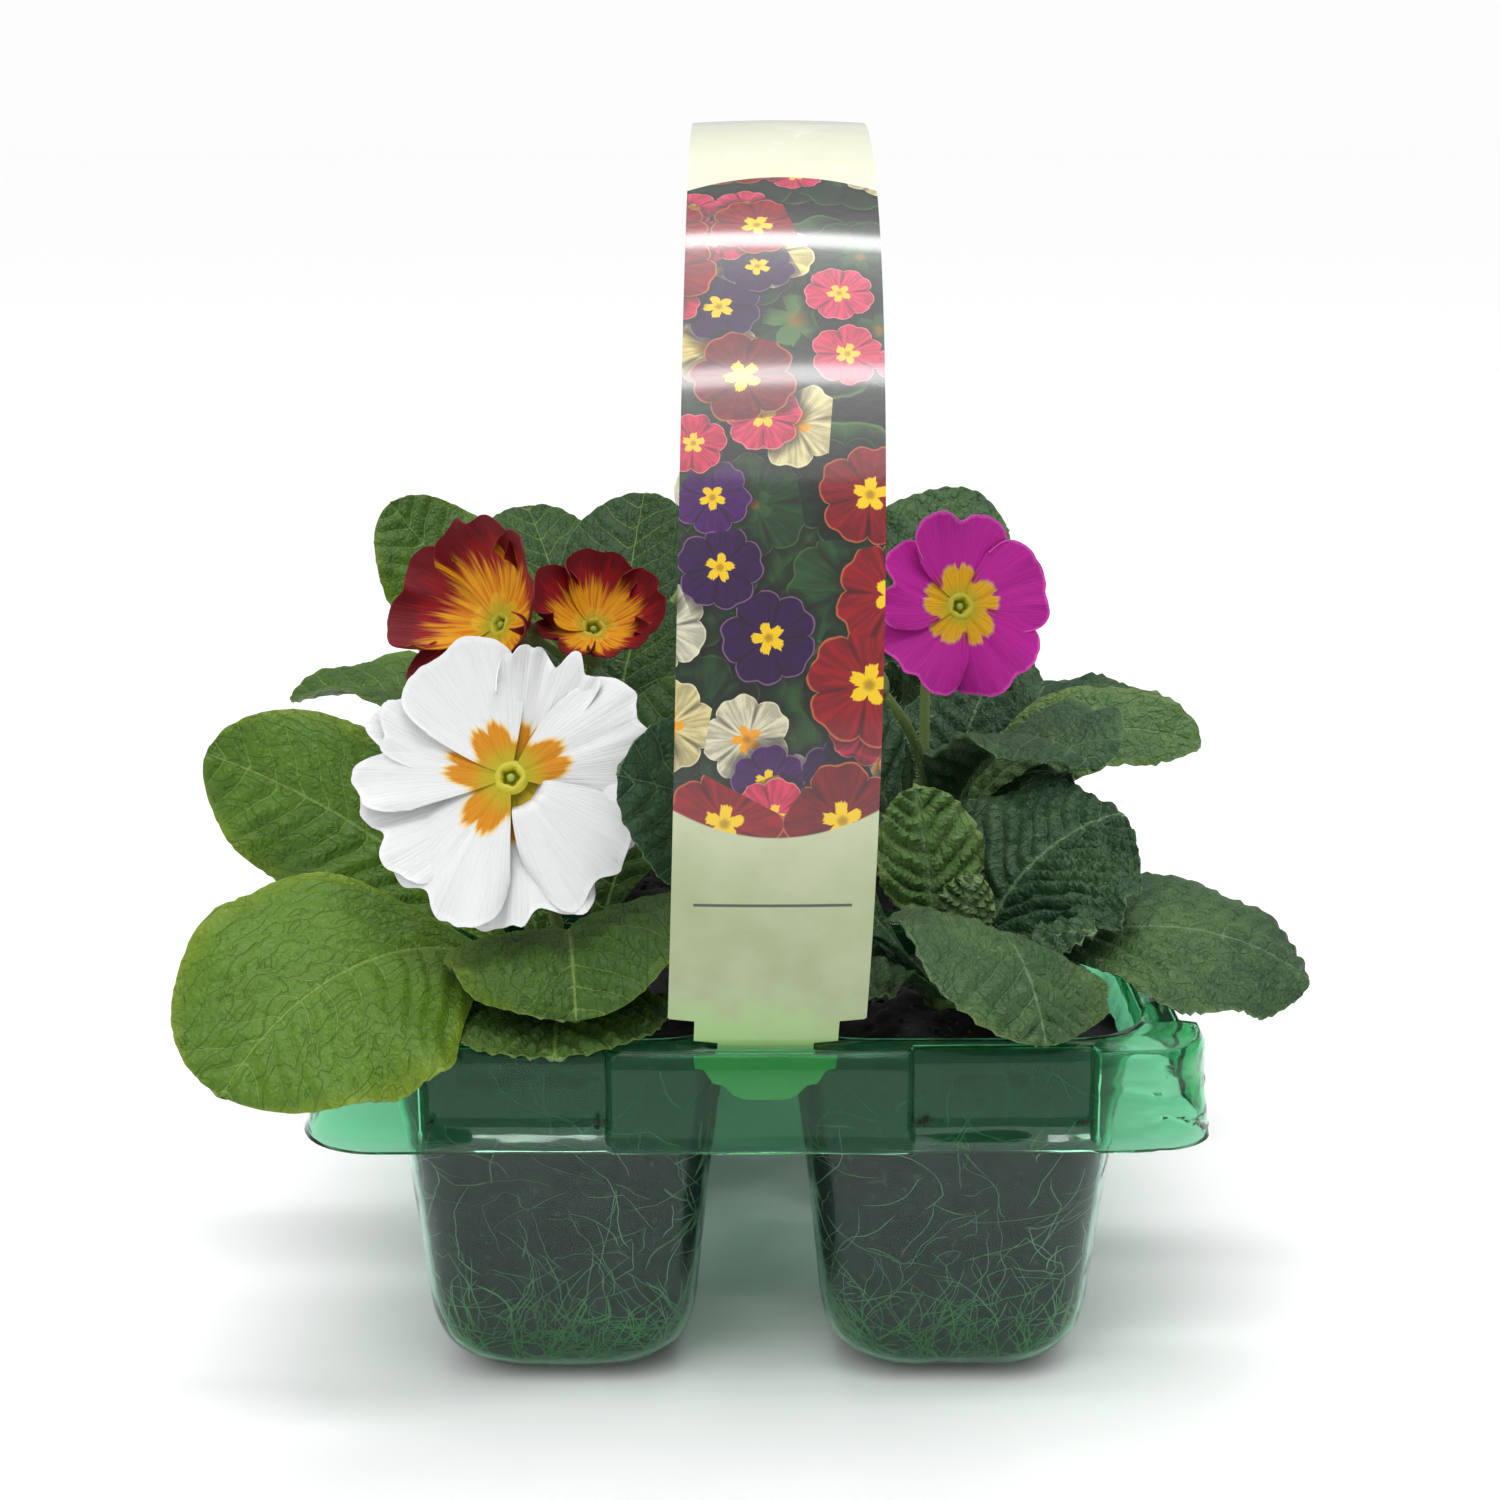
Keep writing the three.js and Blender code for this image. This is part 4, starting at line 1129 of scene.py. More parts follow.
# Each bloom: its plant, the place of its eye from the deck, the angles it faces, its radius, how
# far its edge rises and how much more at the top and less at the bottom, both as shares of the
# radius, and how ruffled it is.
BLOOMS = {
    "white": dict(cell="front_left", eye=(-43.5, -99, 45), faces=270, tilt=30, radius=29, cup=0.06,
                  hang=0.14, ruffle=1.0, petals=[WHITE_REAR_PETALS, WHITE_FRONT_PETALS]),
    "crimson_left": dict(cell="middle_left", eye=(-53, -18, 57), faces=225, tilt=25, radius=22, cup=0.5,
                         hang=0.1, ruffle=0.8, petals=[CRIMSON_LEFT_PETALS]),
    "crimson_right": dict(cell="middle_left", eye=(-34, -12, 55), faces=278, tilt=48, radius=14.5, cup=0.55,
                          hang=0.08, ruffle=0.8, petals=[CRIMSON_RIGHT_PETALS]),
    "magenta": dict(cell="middle_right", eye=(42, -17, 60.5), faces=283, tilt=18, radius=20.5, cup=0.1,
                    hang=0.1, ruffle=0.7, petals=[FIVE_PETALS]),
    "cream": dict(cell="back_left", eye=(-6, 51, 75), faces=270, tilt=30, radius=14, cup=0.1,
                  hang=0.08, ruffle=0.6, petals=[FIVE_PETALS]),
    "yellow": dict(cell="back_right", eye=(12, 97, 69), faces=80, tilt=35, radius=15, cup=0.15,
                   hang=0.08, ruffle=0.6, petals=[FIVE_PETALS]),
}
# How far from the eye a petal starts, and half the angle that it spans.
PETAL_START = 1.9
PETAL_SPAN = np.radians(28.8)
# How far a petal runs past its own span to lap over its neighbours, and how high one side of it
# stands over the next petal.
LAP = 1.42
OVERLAP = 1.1
# How much the edge falls back at a petal's sides and in its heart's notch, as shares of it.
NOTCH = 0.16
HEART = 0.09
# How far the front layer of petals stands off the rear one.
INNER_LIFT = 2
# Half the thickness of a petal.
PETAL_SKIN = 0.12
# Profiles of (radius, height from the front petals): the ring at the throat, and the pin in it.
THROAT_RING = np.array([
    (0.01, -2.4), (1.25, -2.2), (1.35, -0.6), (1.7, 0.35), (2.3, 0.5), (2.9, 0.15), (3.2, -0.3),
])
PIN = np.array([
    (0.01, -2.2), (0.3, -2.1), (0.3, -1.0), (0.75, -0.6), (0.8, -0.2), (0.4, 0.15), (0.01, 0.2),
])


def petal(radius, middle, spread, lift, cup, ruffle, start, seed):
    """One petal about the angle `middle`. Across it u runs past -1 and 1, so that it laps over
    its neighbours, and out along it v runs from `start` to the edge. The edge dips at the
    sides, in a heart's notch and in ragged nicks. The surface stands off by `lift`, which
    halves towards the edge, rises by `cup`, leans so that one side lies over the next petal,
    rolls back at its sides, ruffles towards the edge, stands in fine ridges that run outwards
    and is creased along its middle. A petal that starts away from the tube is folded under
    there."""
    folded = start > PETAL_START
    u = np.linspace(-LAP, LAP, 47)[None]
    v = np.linspace(0, 1, 27)[:, None] ** 0.9
    v = start / radius + (1 - start / radius) * v
    side = np.abs(u) / LAP
    ragged = 0.06 * drift(u * 2.6, seed, 1.1, seed) + 0.014 * drift(u * 8, seed, 1.2, seed + 1)
    heart = HEART * (1 + 0.6 * np.sin(2 * seed)) * np.exp(-16 * (u - 0.12 * np.sin(seed)) ** 2)
    edge = 1 - NOTCH * side ** 4 - 0.18 * side ** 10 - heart - (0.05 - ragged) * ruffle
    edge = np.minimum(edge, 1.0)
    out = radius * v * (1 + (edge - 1) * v ** 2)
    angle = middle + PETAL_SPAN * spread * u * (1.16 - 0.18 * v) + 0.03 * np.sin(3 * v + seed)
    waves = np.sin(2.6 * u + seed) * 0.6 + np.sin(6.3 * u + 2 * seed) * 0.3
    waves = waves + drift(u * 7, v * 3, 1.3, seed + 2) * 0.3
    height = lift * (1 - 0.5 * v ** 2) + cup * radius * v ** 2 + OVERLAP * u * v * 0.8
    height = height + ruffle * 0.06 * radius * waves * v ** 3 - 0.045 * radius * (u ** 2) * v ** 2
    height = height + folded * (1.6 - 4.4 * np.exp(-((out - start) / 1.3) ** 2) - 1.2 * v)
    ridges = np.sin(19 * u + 2.5 * drift(u * 5, v * 2, 1, seed)) + 0.8 * drift(u * 16, v * 1.5, 1, seed + 3)
    height = height + 0.05 * ridges * v * (1.1 - 0.5 * v) - 0.6 * np.exp(-(u / 0.14) ** 2) * v * (1 - v) * 2
    grid = polar(out, angle, height)
    chart = np.stack([u / LAP + 0 * v, v + 0 * u], -1)
    tint = np.stack([0 * out + (seed % 13) / 13, 0 * out, 0 * out + (seed % 7) / 7], -1)
    reach = out / radius + 0.35 * folded
    ribs = np.stack([reach, PETAL_SPAN * u + 0 * v, edge + 0 * v - v * (1 + (edge - 1) * v ** 2)], -1)
    return slab(grid, PETAL_SKIN, PETAL_SKIN, chart, ribs, tint)


def throat_lobes(angle, share):
    """The throat's ring is drawn out a little under each petal."""
    return 0.16 * np.cos(5 * angle) * np.sin(np.pi * share)


def corolla(bloom, seed):
    """Layers of petals on a tube, with the ring of the throat and the pin in it. No two petals
    match in size, place or tilt, the upper ones stand forward and the lower ones hang."""
    turn = turn_from_up(facing(bloom["faces"], bloom["tilt"]))
    surfaces = []
    for layer, rows in enumerate(bloom["petals"]):
        for i, (angle, length, spread, ragged, *start) in enumerate(rows):
            own = seed + 7 * i + 41 * layer
            middle = np.radians(angle + 1.2 * np.sin(3 * own))
            raised = (turn @ facing_ring(middle))[2]
            cup = bloom["cup"] + bloom["hang"] * raised + 0.02 * np.sin(5 * own)
            ruffle = bloom["ruffle"] * ragged
            start = start[0] if start else PETAL_START
            radius, lift = bloom["radius"] * length, INNER_LIFT * layer
            surfaces.append(petal(radius, middle, spread, lift, cup, ruffle, start, own))
    top = INNER_LIFT * (len(bloom["petals"]) - 1)
    ring = softened(THROAT_RING + [0, top], 16, 1)[::-1]
    tube = softened([
        (0.01, -TUBE_LENGTH), (TUBE_RADIUS * 0.9, -TUBE_LENGTH + 0.2), (TUBE_RADIUS * 0.9, -3),
        (TUBE_RADIUS, -1), (TUBE_RADIUS * 1.25, top - 0.2),
    ], 18, 1)
    surfaces.append(revolved(ring, 40, throat_lobes, tint=(0, 0, 0), finish=1))
    surfaces.append(revolved(tube, 24, tint=(1, 0, 0), finish=1))
    surfaces.append(revolved(softened(PIN + [0, top], 16, 1), 14, tint=(0.5, 0, 0), finish=1))
    return [placed(surface, turn, above_deck(bloom["eye"])) for surface in surfaces]


# ---- finishes of leaves, stalks and petals ----

def leaf_material(name, light, dark, edge, vein, vein_share, relief):
    """A primrose leaf: its green wanders with how old it is and with a lightness set for each leaf,
    which partly paints the light and shade where the leaf stands. The midrib and side veins are pale,
    the net of fine veins is sunk and made a little darker by painted shade, and the underside is
    paler and duller."""
    net, join = finish_material(name, Specular_IOR_Level=0.3, Sheen_Weight=0.04, Sheen_Roughness=0.4)
    veins = net.use(VEIN_NET, Ribs=net.read("ribs"), Chart=net.chart())
    lightness_with_painted_shade, under, margin = net.parts(net.read("tint"))
    place = net.place()
    cloud = mottled(net, place, 48.0)
    # Painted light and shade: the leaf's set lightness, partly how old it is and partly the light and shade
    # where it stands, mottled a little.
    mottled_lightness = lightness_with_painted_shade + (cloud - 0.5) * 0.24
    tone = net.mix(net.step(mottled_lightness, 0.05, 0.9), dark, light)
    yellow = net.step(margin, 0.22, 0.0) * net.step(mottled_lightness, 0.2, 0.8)
    tone = net.over(tone, yellow, 0.6, edge)
    # Painted shade: the sunk net of fine veins is darkened, as if shade lay in its furrows.
    tone = net.over(tone, veins["Net"], 0.34, colour(20, 40, 20))
    tone = net.over(tone, veins["Rib"], vein_share, vein)
    tone = net.over(tone, net.step(margin, 0.025, 0.0), 0.3, vein)
    tone = net.over(tone, under, 0.5, colour(112, 136, 96))
    rough = 0.46 + veins["Net"] * 0.2
    height = veins["Height"] - veins["Rib"] * 0.5 + net.noise(place, 1500.0, 2.0) * 0.3
    return join(Base_Color=tone, Roughness=rough, Normal=net.bump(height, relief, 0.9))


def stem_material():
    """Stalks, cups and buds: pale green, a little pink below, and yellower on a bud's petals."""
    net, join = finish_material("stems", Roughness=0.5, Specular_IOR_Level=0.35)
    cloud = mottled(net, net.place(), 120.0)
    kind = net.part(0, net.read("tint"))
    along = net.part(0, net.chart())
    tone = net.mix(kind, colour(96, 122, 60), colour(160, 182, 110))
    tone = net.mix(net.step(kind, 0.7, 0.9), tone, colour(158, 172, 84))
    tone = net.over(tone, net.step(along, 0.5, 0.0), 0.35, colour(150, 96, 84))
    tone = net.over(tone, cloud, 0.3, colour(120, 150, 84))
    return join(Base_Color=tone, Normal=net.bump(cloud, 0.0002, 0.5))


def fuzz_material():
    """The hairs on stalks and cups, pale and plain."""
    _, join = finish_material("fuzz", Roughness=0.6, Base_Color=colour(206, 214, 182))
    return join()


def petal_material(name, base, rim, eye, flame, vein, flame_vein, eye_size, flame_size, rim_width):
    """A petal: a streaked colour that turns to another at the rim, a blunt two-lobed patch of
    gold at the throat, flames that run out from it in streaks, and ridges along the streaks.
    The ribs attribute gives the share of the radius and the distance from the edge."""
    net, join = finish_material(name, Specular_IOR_Level=0.3)
    across, _, _ = net.parts(net.chart())
    tint = net.read("tint")
    _, under, _ = net.parts(tint)
    reach, _, inward = net.parts(net.read("ribs"))
    streaks = net.use(STREAKS, Chart=net.chart(), Tint=tint)
    broad, fine = streaks["Broad"], streaks["Fine"]
    side = abs(across)
    wander = broad - 0.5
    tone = net.over(base, net.step(fine, 0.48, 0.66), 0.5, vein)
    torn = inward + wander * (rim_width * 1.3)
    tone = net.mix(net.step(torn, rim_width, rim_width * 0.35), tone, rim)
    blaze = reach + wander * 0.5 + (fine - 0.5) * 0.22
    licks = net.over(flame, net.step(broad, 0.44, 0.6), 0.7, flame_vein)
    front = 1.0 - under * 0.75
    blazing = net.step(blaze, flame_size + 0.1, flame_size - 0.1) * front
    tone = net.mix(blazing, tone, licks)
    cleft = net.step(side, 0.13, 0.0)
    lobe = eye_size - cleft * 0.06 - side ** 3.0 * 0.3 + wander * 0.09
    lobe = net.math("MAXIMUM", lobe, eye_size * 0.62)
    warm = net.over(eye, net.step(fine, 0.42, 0.66), 0.6, flame_vein)
    rayed = net.step(reach, lobe + 0.045, lobe - 0.01)
    tone = net.over(tone, rayed * front, 0.75, colour(226, 186, 52))
    gold = net.step(reach, lobe + 0.012, lobe - 0.03)
    tone = net.mix(gold * front, tone, warm)
    heart = net.step(reach + wander * 0.1, 0.28, 0.12)
    tone = net.over(tone, heart, 0.75, colour(168, 168, 30))
    rough = 0.5 + fine * 0.2
    height = fine * 0.8 + net.noise(net.place(), 900.0, 2.0) * 0.2
    return join(Base_Color=tone, Roughness=rough, Normal=net.bump(height, 0.0006, 0.5))


def throat_material():
    """The ring at the throat is yellow green, the pin pale green, and the tube outside cream."""
    net, join = finish_material("throat", Roughness=0.5)
    kind = net.part(0, net.read("tint"))
    tone = net.mix(net.step(kind, 0.2, 0.45), colour(188, 178, 30), colour(150, 176, 74))
    tone = net.mix(net.step(kind, 0.7, 0.9), tone, colour(214, 214, 160))
    cloud = mottled(net, net.place(), 500.0)
    return join(Base_Color=net.over(tone, cloud, 0.3, colour(120, 130, 30)))


STEM, FUZZ, THROAT = stem_material(), fuzz_material(), throat_material()
# The leaves of each side's plants: light and dark green, the margin's yellow and the veins, how
# strongly the veins show, and how deep the fine net is in metres.
LEAF = {
    "left": leaf_material("leaf_light", colour(84, 121, 20), colour(32, 66, 20), colour(122, 142, 30),
                          colour(132, 158, 80), 0.5, 0.00028),
    "right": leaf_material("leaf_dark", colour(100, 136, 70), colour(32, 66, 38), colour(116, 134, 60),
                           colour(122, 150, 106), 0.42, 0.0004),
}
GOLD = (206, 134, 8)
# Each kind of petal: the colours of face, rim, eye, flames, veins, and the veins of eye and flames.
# Then the sizes of eye, flames and rim, as shares of the radius.
PETAL_LOOKS = {
    "white": [(220, 221, 221), (227, 228, 228), GOLD, (216, 214, 190), (210, 212, 214), (176, 104, 6),
              0.4, 0.2, 0.05],
    "crimson": [(150, 5, 18), (108, 1, 17), (222, 172, 22), (228, 160, 10), (112, 0, 16), (206, 98, 6),
                0.3, 0.58, 0.24],
    "magenta": [(184, 22, 148), (206, 70, 172), (222, 172, 12), (150, 24, 90), (160, 14, 126), (196, 112, 10),
                0.41, 0.36, 0.04],
    "cream": [(222, 218, 192), (228, 224, 204), GOLD, (216, 206, 110), (204, 198, 164), (210, 150, 20),
              0.34, 0.2, 0.05],
    "yellow": [(222, 196, 36), (226, 204, 60), (212, 126, 12), (216, 168, 16), (200, 164, 18), (196, 100, 10),
               0.38, 0.26, 0.05],
}
PETALS = {
    kind: petal_material(f"petal_{kind}", *(colour(*shade) for shade in look[:6]), *look[6:])
    for kind, look in PETAL_LOOKS.items()
}


# ---- the plants and their flowers ----

LEAF_SLOTS = {"left": "leaf_light", "right": "leaf_dark"}
# How fine the grids of a plant's leaves are, by its row.
FINENESS = {"front": 1.0, "middle": 0.78, "back": 0.78}


def plant(name, cell, number):
    """Leaves about a crown, and a stalk that ends in a cup for each bloom, or in a bud."""
    row, side = name.split("_")
    surfaces = [
        leaf(cell, numbers, 31 * number + 5 * k + 3, QUILTING[side], TEETH[side], FINENESS[row])
        for k, numbers in enumerate(LEAVES[name])
    ]
    surfaces.append(crown(cell, number))
    for k, bloom in enumerate(b for b in BLOOMS.values() if b["cell"] == name):
        axis, eye = facing(bloom["faces"], bloom["tilt"]), above_deck(bloom["eye"])
        surfaces += stalk(stalk_path(cell, eye - axis * (TUBE_LENGTH + 2), axis), 50 * number + k)
        surfaces += cup(eye, axis, 60 * number + k)
    for owner, tip, faces, tilt in BUDS:
        if owner == name:
            axis, place = facing(faces, tilt), above_deck(tip)
            surfaces += stalk(stalk_path(cell, place - axis * 4, axis), 70 * number) + bud(place, axis)
    return surfaces


for number, (name, cell) in enumerate(CELLS.items()):
    side = name.split("_")[1]
    thing = mesh_object(f"primrose_{name}", plant(name, cell, number))
    stand_for(thing, [LEAF[side], STEM, FUZZ], LEAF_SLOTS[side], f"plant_{name}")
for number, (name, bloom) in enumerate(BLOOMS.items()):
    kind = name.split("_")[0]
    flower = mesh_object(f"flower_{name}", corolla(bloom, 17 * number + 5))
    stand_for(flower, [PETALS[kind], THROAT], f"petal_{kind}", f"bloom_{name}")


# ---- the card handle ----

ARCH_HEIGHT = 157.5
CARD_WIDTH = 34.5
# Half the card's thickness, and how far the crest leans to the right of the slots.
CARD_SKIN = 0.2
LEAN = 3.4
# The four Bezier points of half of the arch: depth behind the skirt's front, and height above
# the deck.
ARCH_POINTS = np.array([(SLOT_INSET, 0), (-24, 78), (22, ARCH_HEIGHT), (PACK_DEPTH / 2, ARCH_HEIGHT)], float)
# The card's half width at each distance from the slot: tab, barbs, notch, neck and shoulders.
TAB_OUTLINE = np.array([
    (-12, 3), (-11.6, 4.6), (-11, 5.6), (-8.6, 7.4), (-8.2, 9.2), (-5, 10.8), (-4.6, 12.4), (-1.8, 12.6),
    (-1.3, 8.4), (1.2, 8.4), (1.7, 12.6), (6, 12.6), (6.5, 16.9), (6.8, CARD_WIDTH / 2),
])


def half_arch(distance):
    """Points of the card's centre line at each distance from the slot, along half of a cubic
    Bezier arch, and that half's length. Below the slot the card runs straight on. Towards its
    crest it leans a little to the right."""
    t = np.linspace(0, 1, 3000)[:, None]
    a, b, c, d = ARCH_POINTS
    curve = (1 - t) ** 3 * a + 3 * t * (1 - t) ** 2 * b + 3 * t ** 2 * (1 - t) * c + t ** 3 * d
    run = np.r_[0, np.cumsum(np.linalg.norm(np.diff(curve, axis=0), axis=1))]
    above = np.maximum(distance, 0)
    at = np.stack([np.interp(above, run, curve[:, k]) for k in (0, 1)], -1)
    along = unit(np.gradient(curve, axis=0))
    along = unit(np.stack([np.interp(above, run, along[:, k]) for k in (0, 1)], -1))
    at = at + along * np.minimum(distance, 0)[:, None]
    s = above / run[-1]
    across = CARD_X + LEAN * (1 - (1 - s) ** 3)
    return np.stack([across, at[:, 0] - PACK_DEPTH / 2, DECK + at[:, 1]], -1), run[-1]


def card():
    """A strip of card over the whole arch, printed side out, which bows a little across its width
    away from the slots. Its chart is in card widths: across from the left edge, and along from
    the front slot. Returns the strip and its length in the chart."""
    _, length = half_arch(np.zeros(1))
    row = np.arange(len(TAB_OUTLINE))
    fine = np.interp(np.arange(0, row[-1] + 0.01, 0.5), row, TAB_OUTLINE[:, 0])
    half = np.interp(fine, TAB_OUTLINE[:, 0], TAB_OUTLINE[:, 1])
    above = np.linspace(fine[-1], length, 96)[1:]
    distance = np.r_[fine, above]
    half = np.r_[half, np.full(len(above), CARD_WIDTH / 2)]
    place, _ = half_arch(distance)
    back = place[::-1][1:] * [1, -1, 1]
    place = np.vstack([place, back])
    half = np.r_[half, half[::-1][1:]]
    run = np.r_[distance, 2 * length - distance[::-1][1:]]
    across = np.linspace(1, -1, 17)
    x = half[:, None] * across
    along = unit(np.gradient(place, axis=0))
    away = unit(np.cross(along, [-1.0, 0, 0]))
    free = eased(run / 30) * eased((2 * length - run) / 30)
    bow = 0.5 * across ** 2 * free[:, None]
    grid = place[:, None] + x[..., None] * [1.0, 0, 0] - away[:, None] * bow[..., None]
    chart = np.stack([x / CARD_WIDTH + 0.5, np.broadcast_to((run / CARD_WIDTH)[:, None], x.shape)], -1)
    rim = np.stack([0 * x, 0 * x, np.broadcast_to(np.abs(across), x.shape)], -1)
    return slab(grid, CARD_SKIN, CARD_SKIN, chart, 0.0, rim), float(2 * length / CARD_WIDTH)


def printed_flower_effect():
    """Round five-petalled flowers scattered one to a cell, where a slow noise at the cell's
    middle is over `Bare`. A petal's edge is a rosette in polar form with a notch. Each flower
    has a star for its eye, a thin pale rim, dark seams between its petals, and a dark halo
    under it."""
    net, entry, give = effect(
        "printed flower",
        {"Chart": "vector", "Scale": "value", "Size": "value", "Bare": "value", "Petal": "colour",
         "Second": "colour", "Rim": "colour", "Eye": "colour"},
        {"Colour": "colour", "Mask": "value", "Halo": "value"},
    )
    chart = net.vector_math("SCALE", {0: entry["Chart"], 3: entry["Scale"]})
    inputs = {"Vector": chart, "Scale": 1.0, "Randomness": 0.7}
    cells = net.outputs(net.node("ShaderNodeTexVoronoi", inputs, voronoi_dimensions="2D"))
    away = net.vector_math("SUBTRACT", {0: chart, 1: cells["Position"]})
    x, y, _ = net.parts(away)
    own = net.outputs(net.node("ShaderNodeSeparateColor", {0: cells["Color"]}))
    angle = net.math("ARCTAN2", y, x) + own["Red"] * 6.0
    radius = net.vector_math("LENGTH", {0: away}, "Value")
    wobble = net.noise(chart, 3.5, 2.0) - 0.5
    lobe = abs(net.math("COSINE", angle * 2.5))
    edge = 0.8 + lobe ** 0.5 * 0.24 - lobe ** 14.0 * 0.08 + wobble * 0.2
    size = entry["Size"] * (0.82 + own["Green"] * 0.3)
    share = radius / (edge * size)
    grows = net.math("GREATER_THAN", net.noise(cells["Position"], 0.55, 1.0), entry["Bare"])
    mask = net.step(share, 1.01, 0.985) * grows
    halo = net.step(share, 1.35, 1.0) * grows
    tone = net.mix(own["Blue"], entry["Petal"], entry["Second"])
    fold = net.noise(net.vector(angle * 3.0, share * 0.7), 2.2, 3.0)
    tone = net.over(tone, net.step(fold, 0.35, 0.62), 0.42, colour(24, 2, 10))
    seam = net.step(lobe, 0.3, 0.03) * net.step(share, 0.25, 0.6)
    tone = net.over(tone, seam, 0.6, colour(24, 4, 14))
    tone = net.over(tone, net.step(share, 0.95, 0.99), 0.6, entry["Rim"])
    star = 0.2 + lobe * 0.16 + (fold - 0.5) * 0.22
    tone = net.mix(net.step(share, star, star - 0.035), tone, entry["Eye"])
    tone = net.over(tone, net.step(share, 0.14, 0.04), 0.7, colour(140, 96, 8))
    return give(Colour=tone, Mask=mask, Halo=halo)


# The printed flowers, from the back layer to the front one: how many to a card's width, their
# size, how bare the bed stays, a shift of their layout, and the colours of petals, rim and eye.
PRINTED = [
    (1.25, 0.62, 0.10, (0.3, 2.2), (26, 58, 30), (52, 92, 42), (96, 128, 70), (70, 104, 52)),
    (1.55, 0.50, 0.36, (7.7, 0.4), (14, 40, 22), (36, 74, 36), (72, 104, 58), (44, 76, 38)),
    (2.05, 0.47, 0.53, (3.1, 7.7), (220, 190, 14), (206, 208, 190), (232, 226, 190), (222, 150, 14)),
    (2.20, 0.46, 0.56, (9.4, 1.3), (40, 6, 62), (78, 14, 104), (150, 110, 150), (226, 186, 16)),
    (2.50, 0.46, 0.57, (1.7, 4.1), (196, 26, 66), (214, 60, 96), (232, 150, 150), (230, 186, 40)),
    (1.70, 0.47, 0.52, (5.2, 4.9), (112, 8, 14), (150, 14, 24), (206, 120, 70), (230, 190, 18)),
]


# Along the card, in card widths: how far from a slot and from the crest the picture stops, and
# how far from a slot the rule lies.
PICTURE_START = 1.2
CREST_MARGIN = 1.62
RULE_PLACE = 0.85


def card_material(length):
    """Laminated card: a printed bed of mixed flowers over dark leaves, cream over the crest and
    at both ends, with one thin rule near each end. Painted shade makes the cream darker and greener
    towards the low ends of the arch, and a painted green cast, as of light through the green plastic,
    lies at the tabs. The inner face and the cut edges are plain cream board."""
    net, join = finish_material("printed_card", Coat_Weight=0.9, Coat_Roughness=0.1, Specular_IOR_Level=0.35)
    flower = printed_flower_effect()
    chart = net.chart()
    across, along, _ = net.parts(chart)
    _, inside, rim = net.parts(net.read("tint"))
    end = net.math("MINIMUM", along, length - along)
    centred = abs(across - 0.5)
    cloud = mottled(net, chart, 1.6)
    cream = net.over(colour(240, 240, 216), cloud, 0.3, colour(214, 220, 178))
    # Painted shade: the cream turns darker and greener towards the low ends of the arch, where less light
    # reaches it.
    shaded_cream = net.mix(cloud, colour(164, 174, 136), colour(148, 162, 116))
    cream = net.mix(net.step(end, 2.4, 0.7), cream, shaded_cream)
    ghost = net.use(flower, Chart=chart, Scale=1.4, Size=0.6, Bare=0.45)
    cream = net.over(cream, ghost["Mask"], 0.14, colour(160, 176, 120))
    # Painted light: a green cast near the tabs and slots, as of light through and off the green plastic.
    green_cast = net.step(end + cloud * 0.35, 0.6, 0.1)
    cream = net.over(cream, green_cast, 0.7, colour(140, 190, 104))
    bed = net.mix(mottled(net, chart, 7.0), colour(8, 11, 9), colour(20, 34, 20))
    for scale, size, bare, shift, petal_a, petal_b, rim_colour, eye in PRINTED:
        moved = net.vector_math("ADD", {0: chart, 1: (*shift, 0.0)})
        layer = net.use(flower, Chart=moved, Scale=scale, Size=size, Bare=bare, Petal=colour(*petal_a),
                        Second=colour(*petal_b), Rim=colour(*rim_colour), Eye=colour(*eye))
        bed = net.over(bed, layer["Halo"], 0.75, colour(6, 6, 6))
        bed = net.mix(layer["Mask"], bed, layer["Colour"])
    arc = centred * centred * 0.55
    low = end - (arc + PICTURE_START)
    high = end - (length / 2 - CREST_MARGIN - arc)
    picture = net.step(low, 0.0, 0.012) * net.step(high, 0.012, 0.0)
    tone = net.mix(picture, cream, bed)
    rule = net.step(abs(end - RULE_PLACE), 0.01, 0.006) * net.step(centred, 0.392, 0.388)
    tone = net.mix(rule, tone, colour(60, 62, 56))
    plain = net.math("MAXIMUM", net.step(inside, 0.2, 0.6), net.step(rim, 1.0, 1.001))
    tone = net.mix(plain, tone, colour(206, 206, 186))
    rough = 0.32 + net.step(inside, 0.2, 0.6) * 0.4
    normal = net.bump(net.noise(net.place(), 26.0, 2.0), 0.0008, 0.35)
    normal = net.bump(net.noise(net.place(), 520.0, 3.0, 0.6), 0.00012, 0.5, normal)
    return join(Base_Color=tone, Roughness=rough, Normal=normal)


strip, strip_length = card()
stand_for(mesh_object("printed_card", [strip], 60), [card_material(strip_length)], "card", "card_handle")


# ---- the room ----

# How far the floor runs from the middle, in metres.
FLOOR_REACH = 40
# How strongly the sky shines, and how much brighter the camera sees it.
SKY_STRENGTH = 0.55
SKY_SHOWN = 0.45
# Each sun: its heading and its lean from overhead in degrees, its strength, and its width in
# degrees.
SUNS = {"overhead": (10, 12, 1.3, 60), "key": (-35, 50, 0.45, 35)}
# The strip lamps: how far back each hangs, then how far to the right and how high both hang, what
# they face, their length and width, all in metres, and their power in watts.
STRIPS = {"strip_near": -0.525, "strip_far": 0.4}
STRIP_RIGHT, STRIP_HEIGHT = 0.03, 1.52
STRIP_AIM = (0, -0.08, 0.2)
STRIP_LENGTH, STRIP_WIDTH = 0.9, 0.11
STRIP_POWER = 4.5


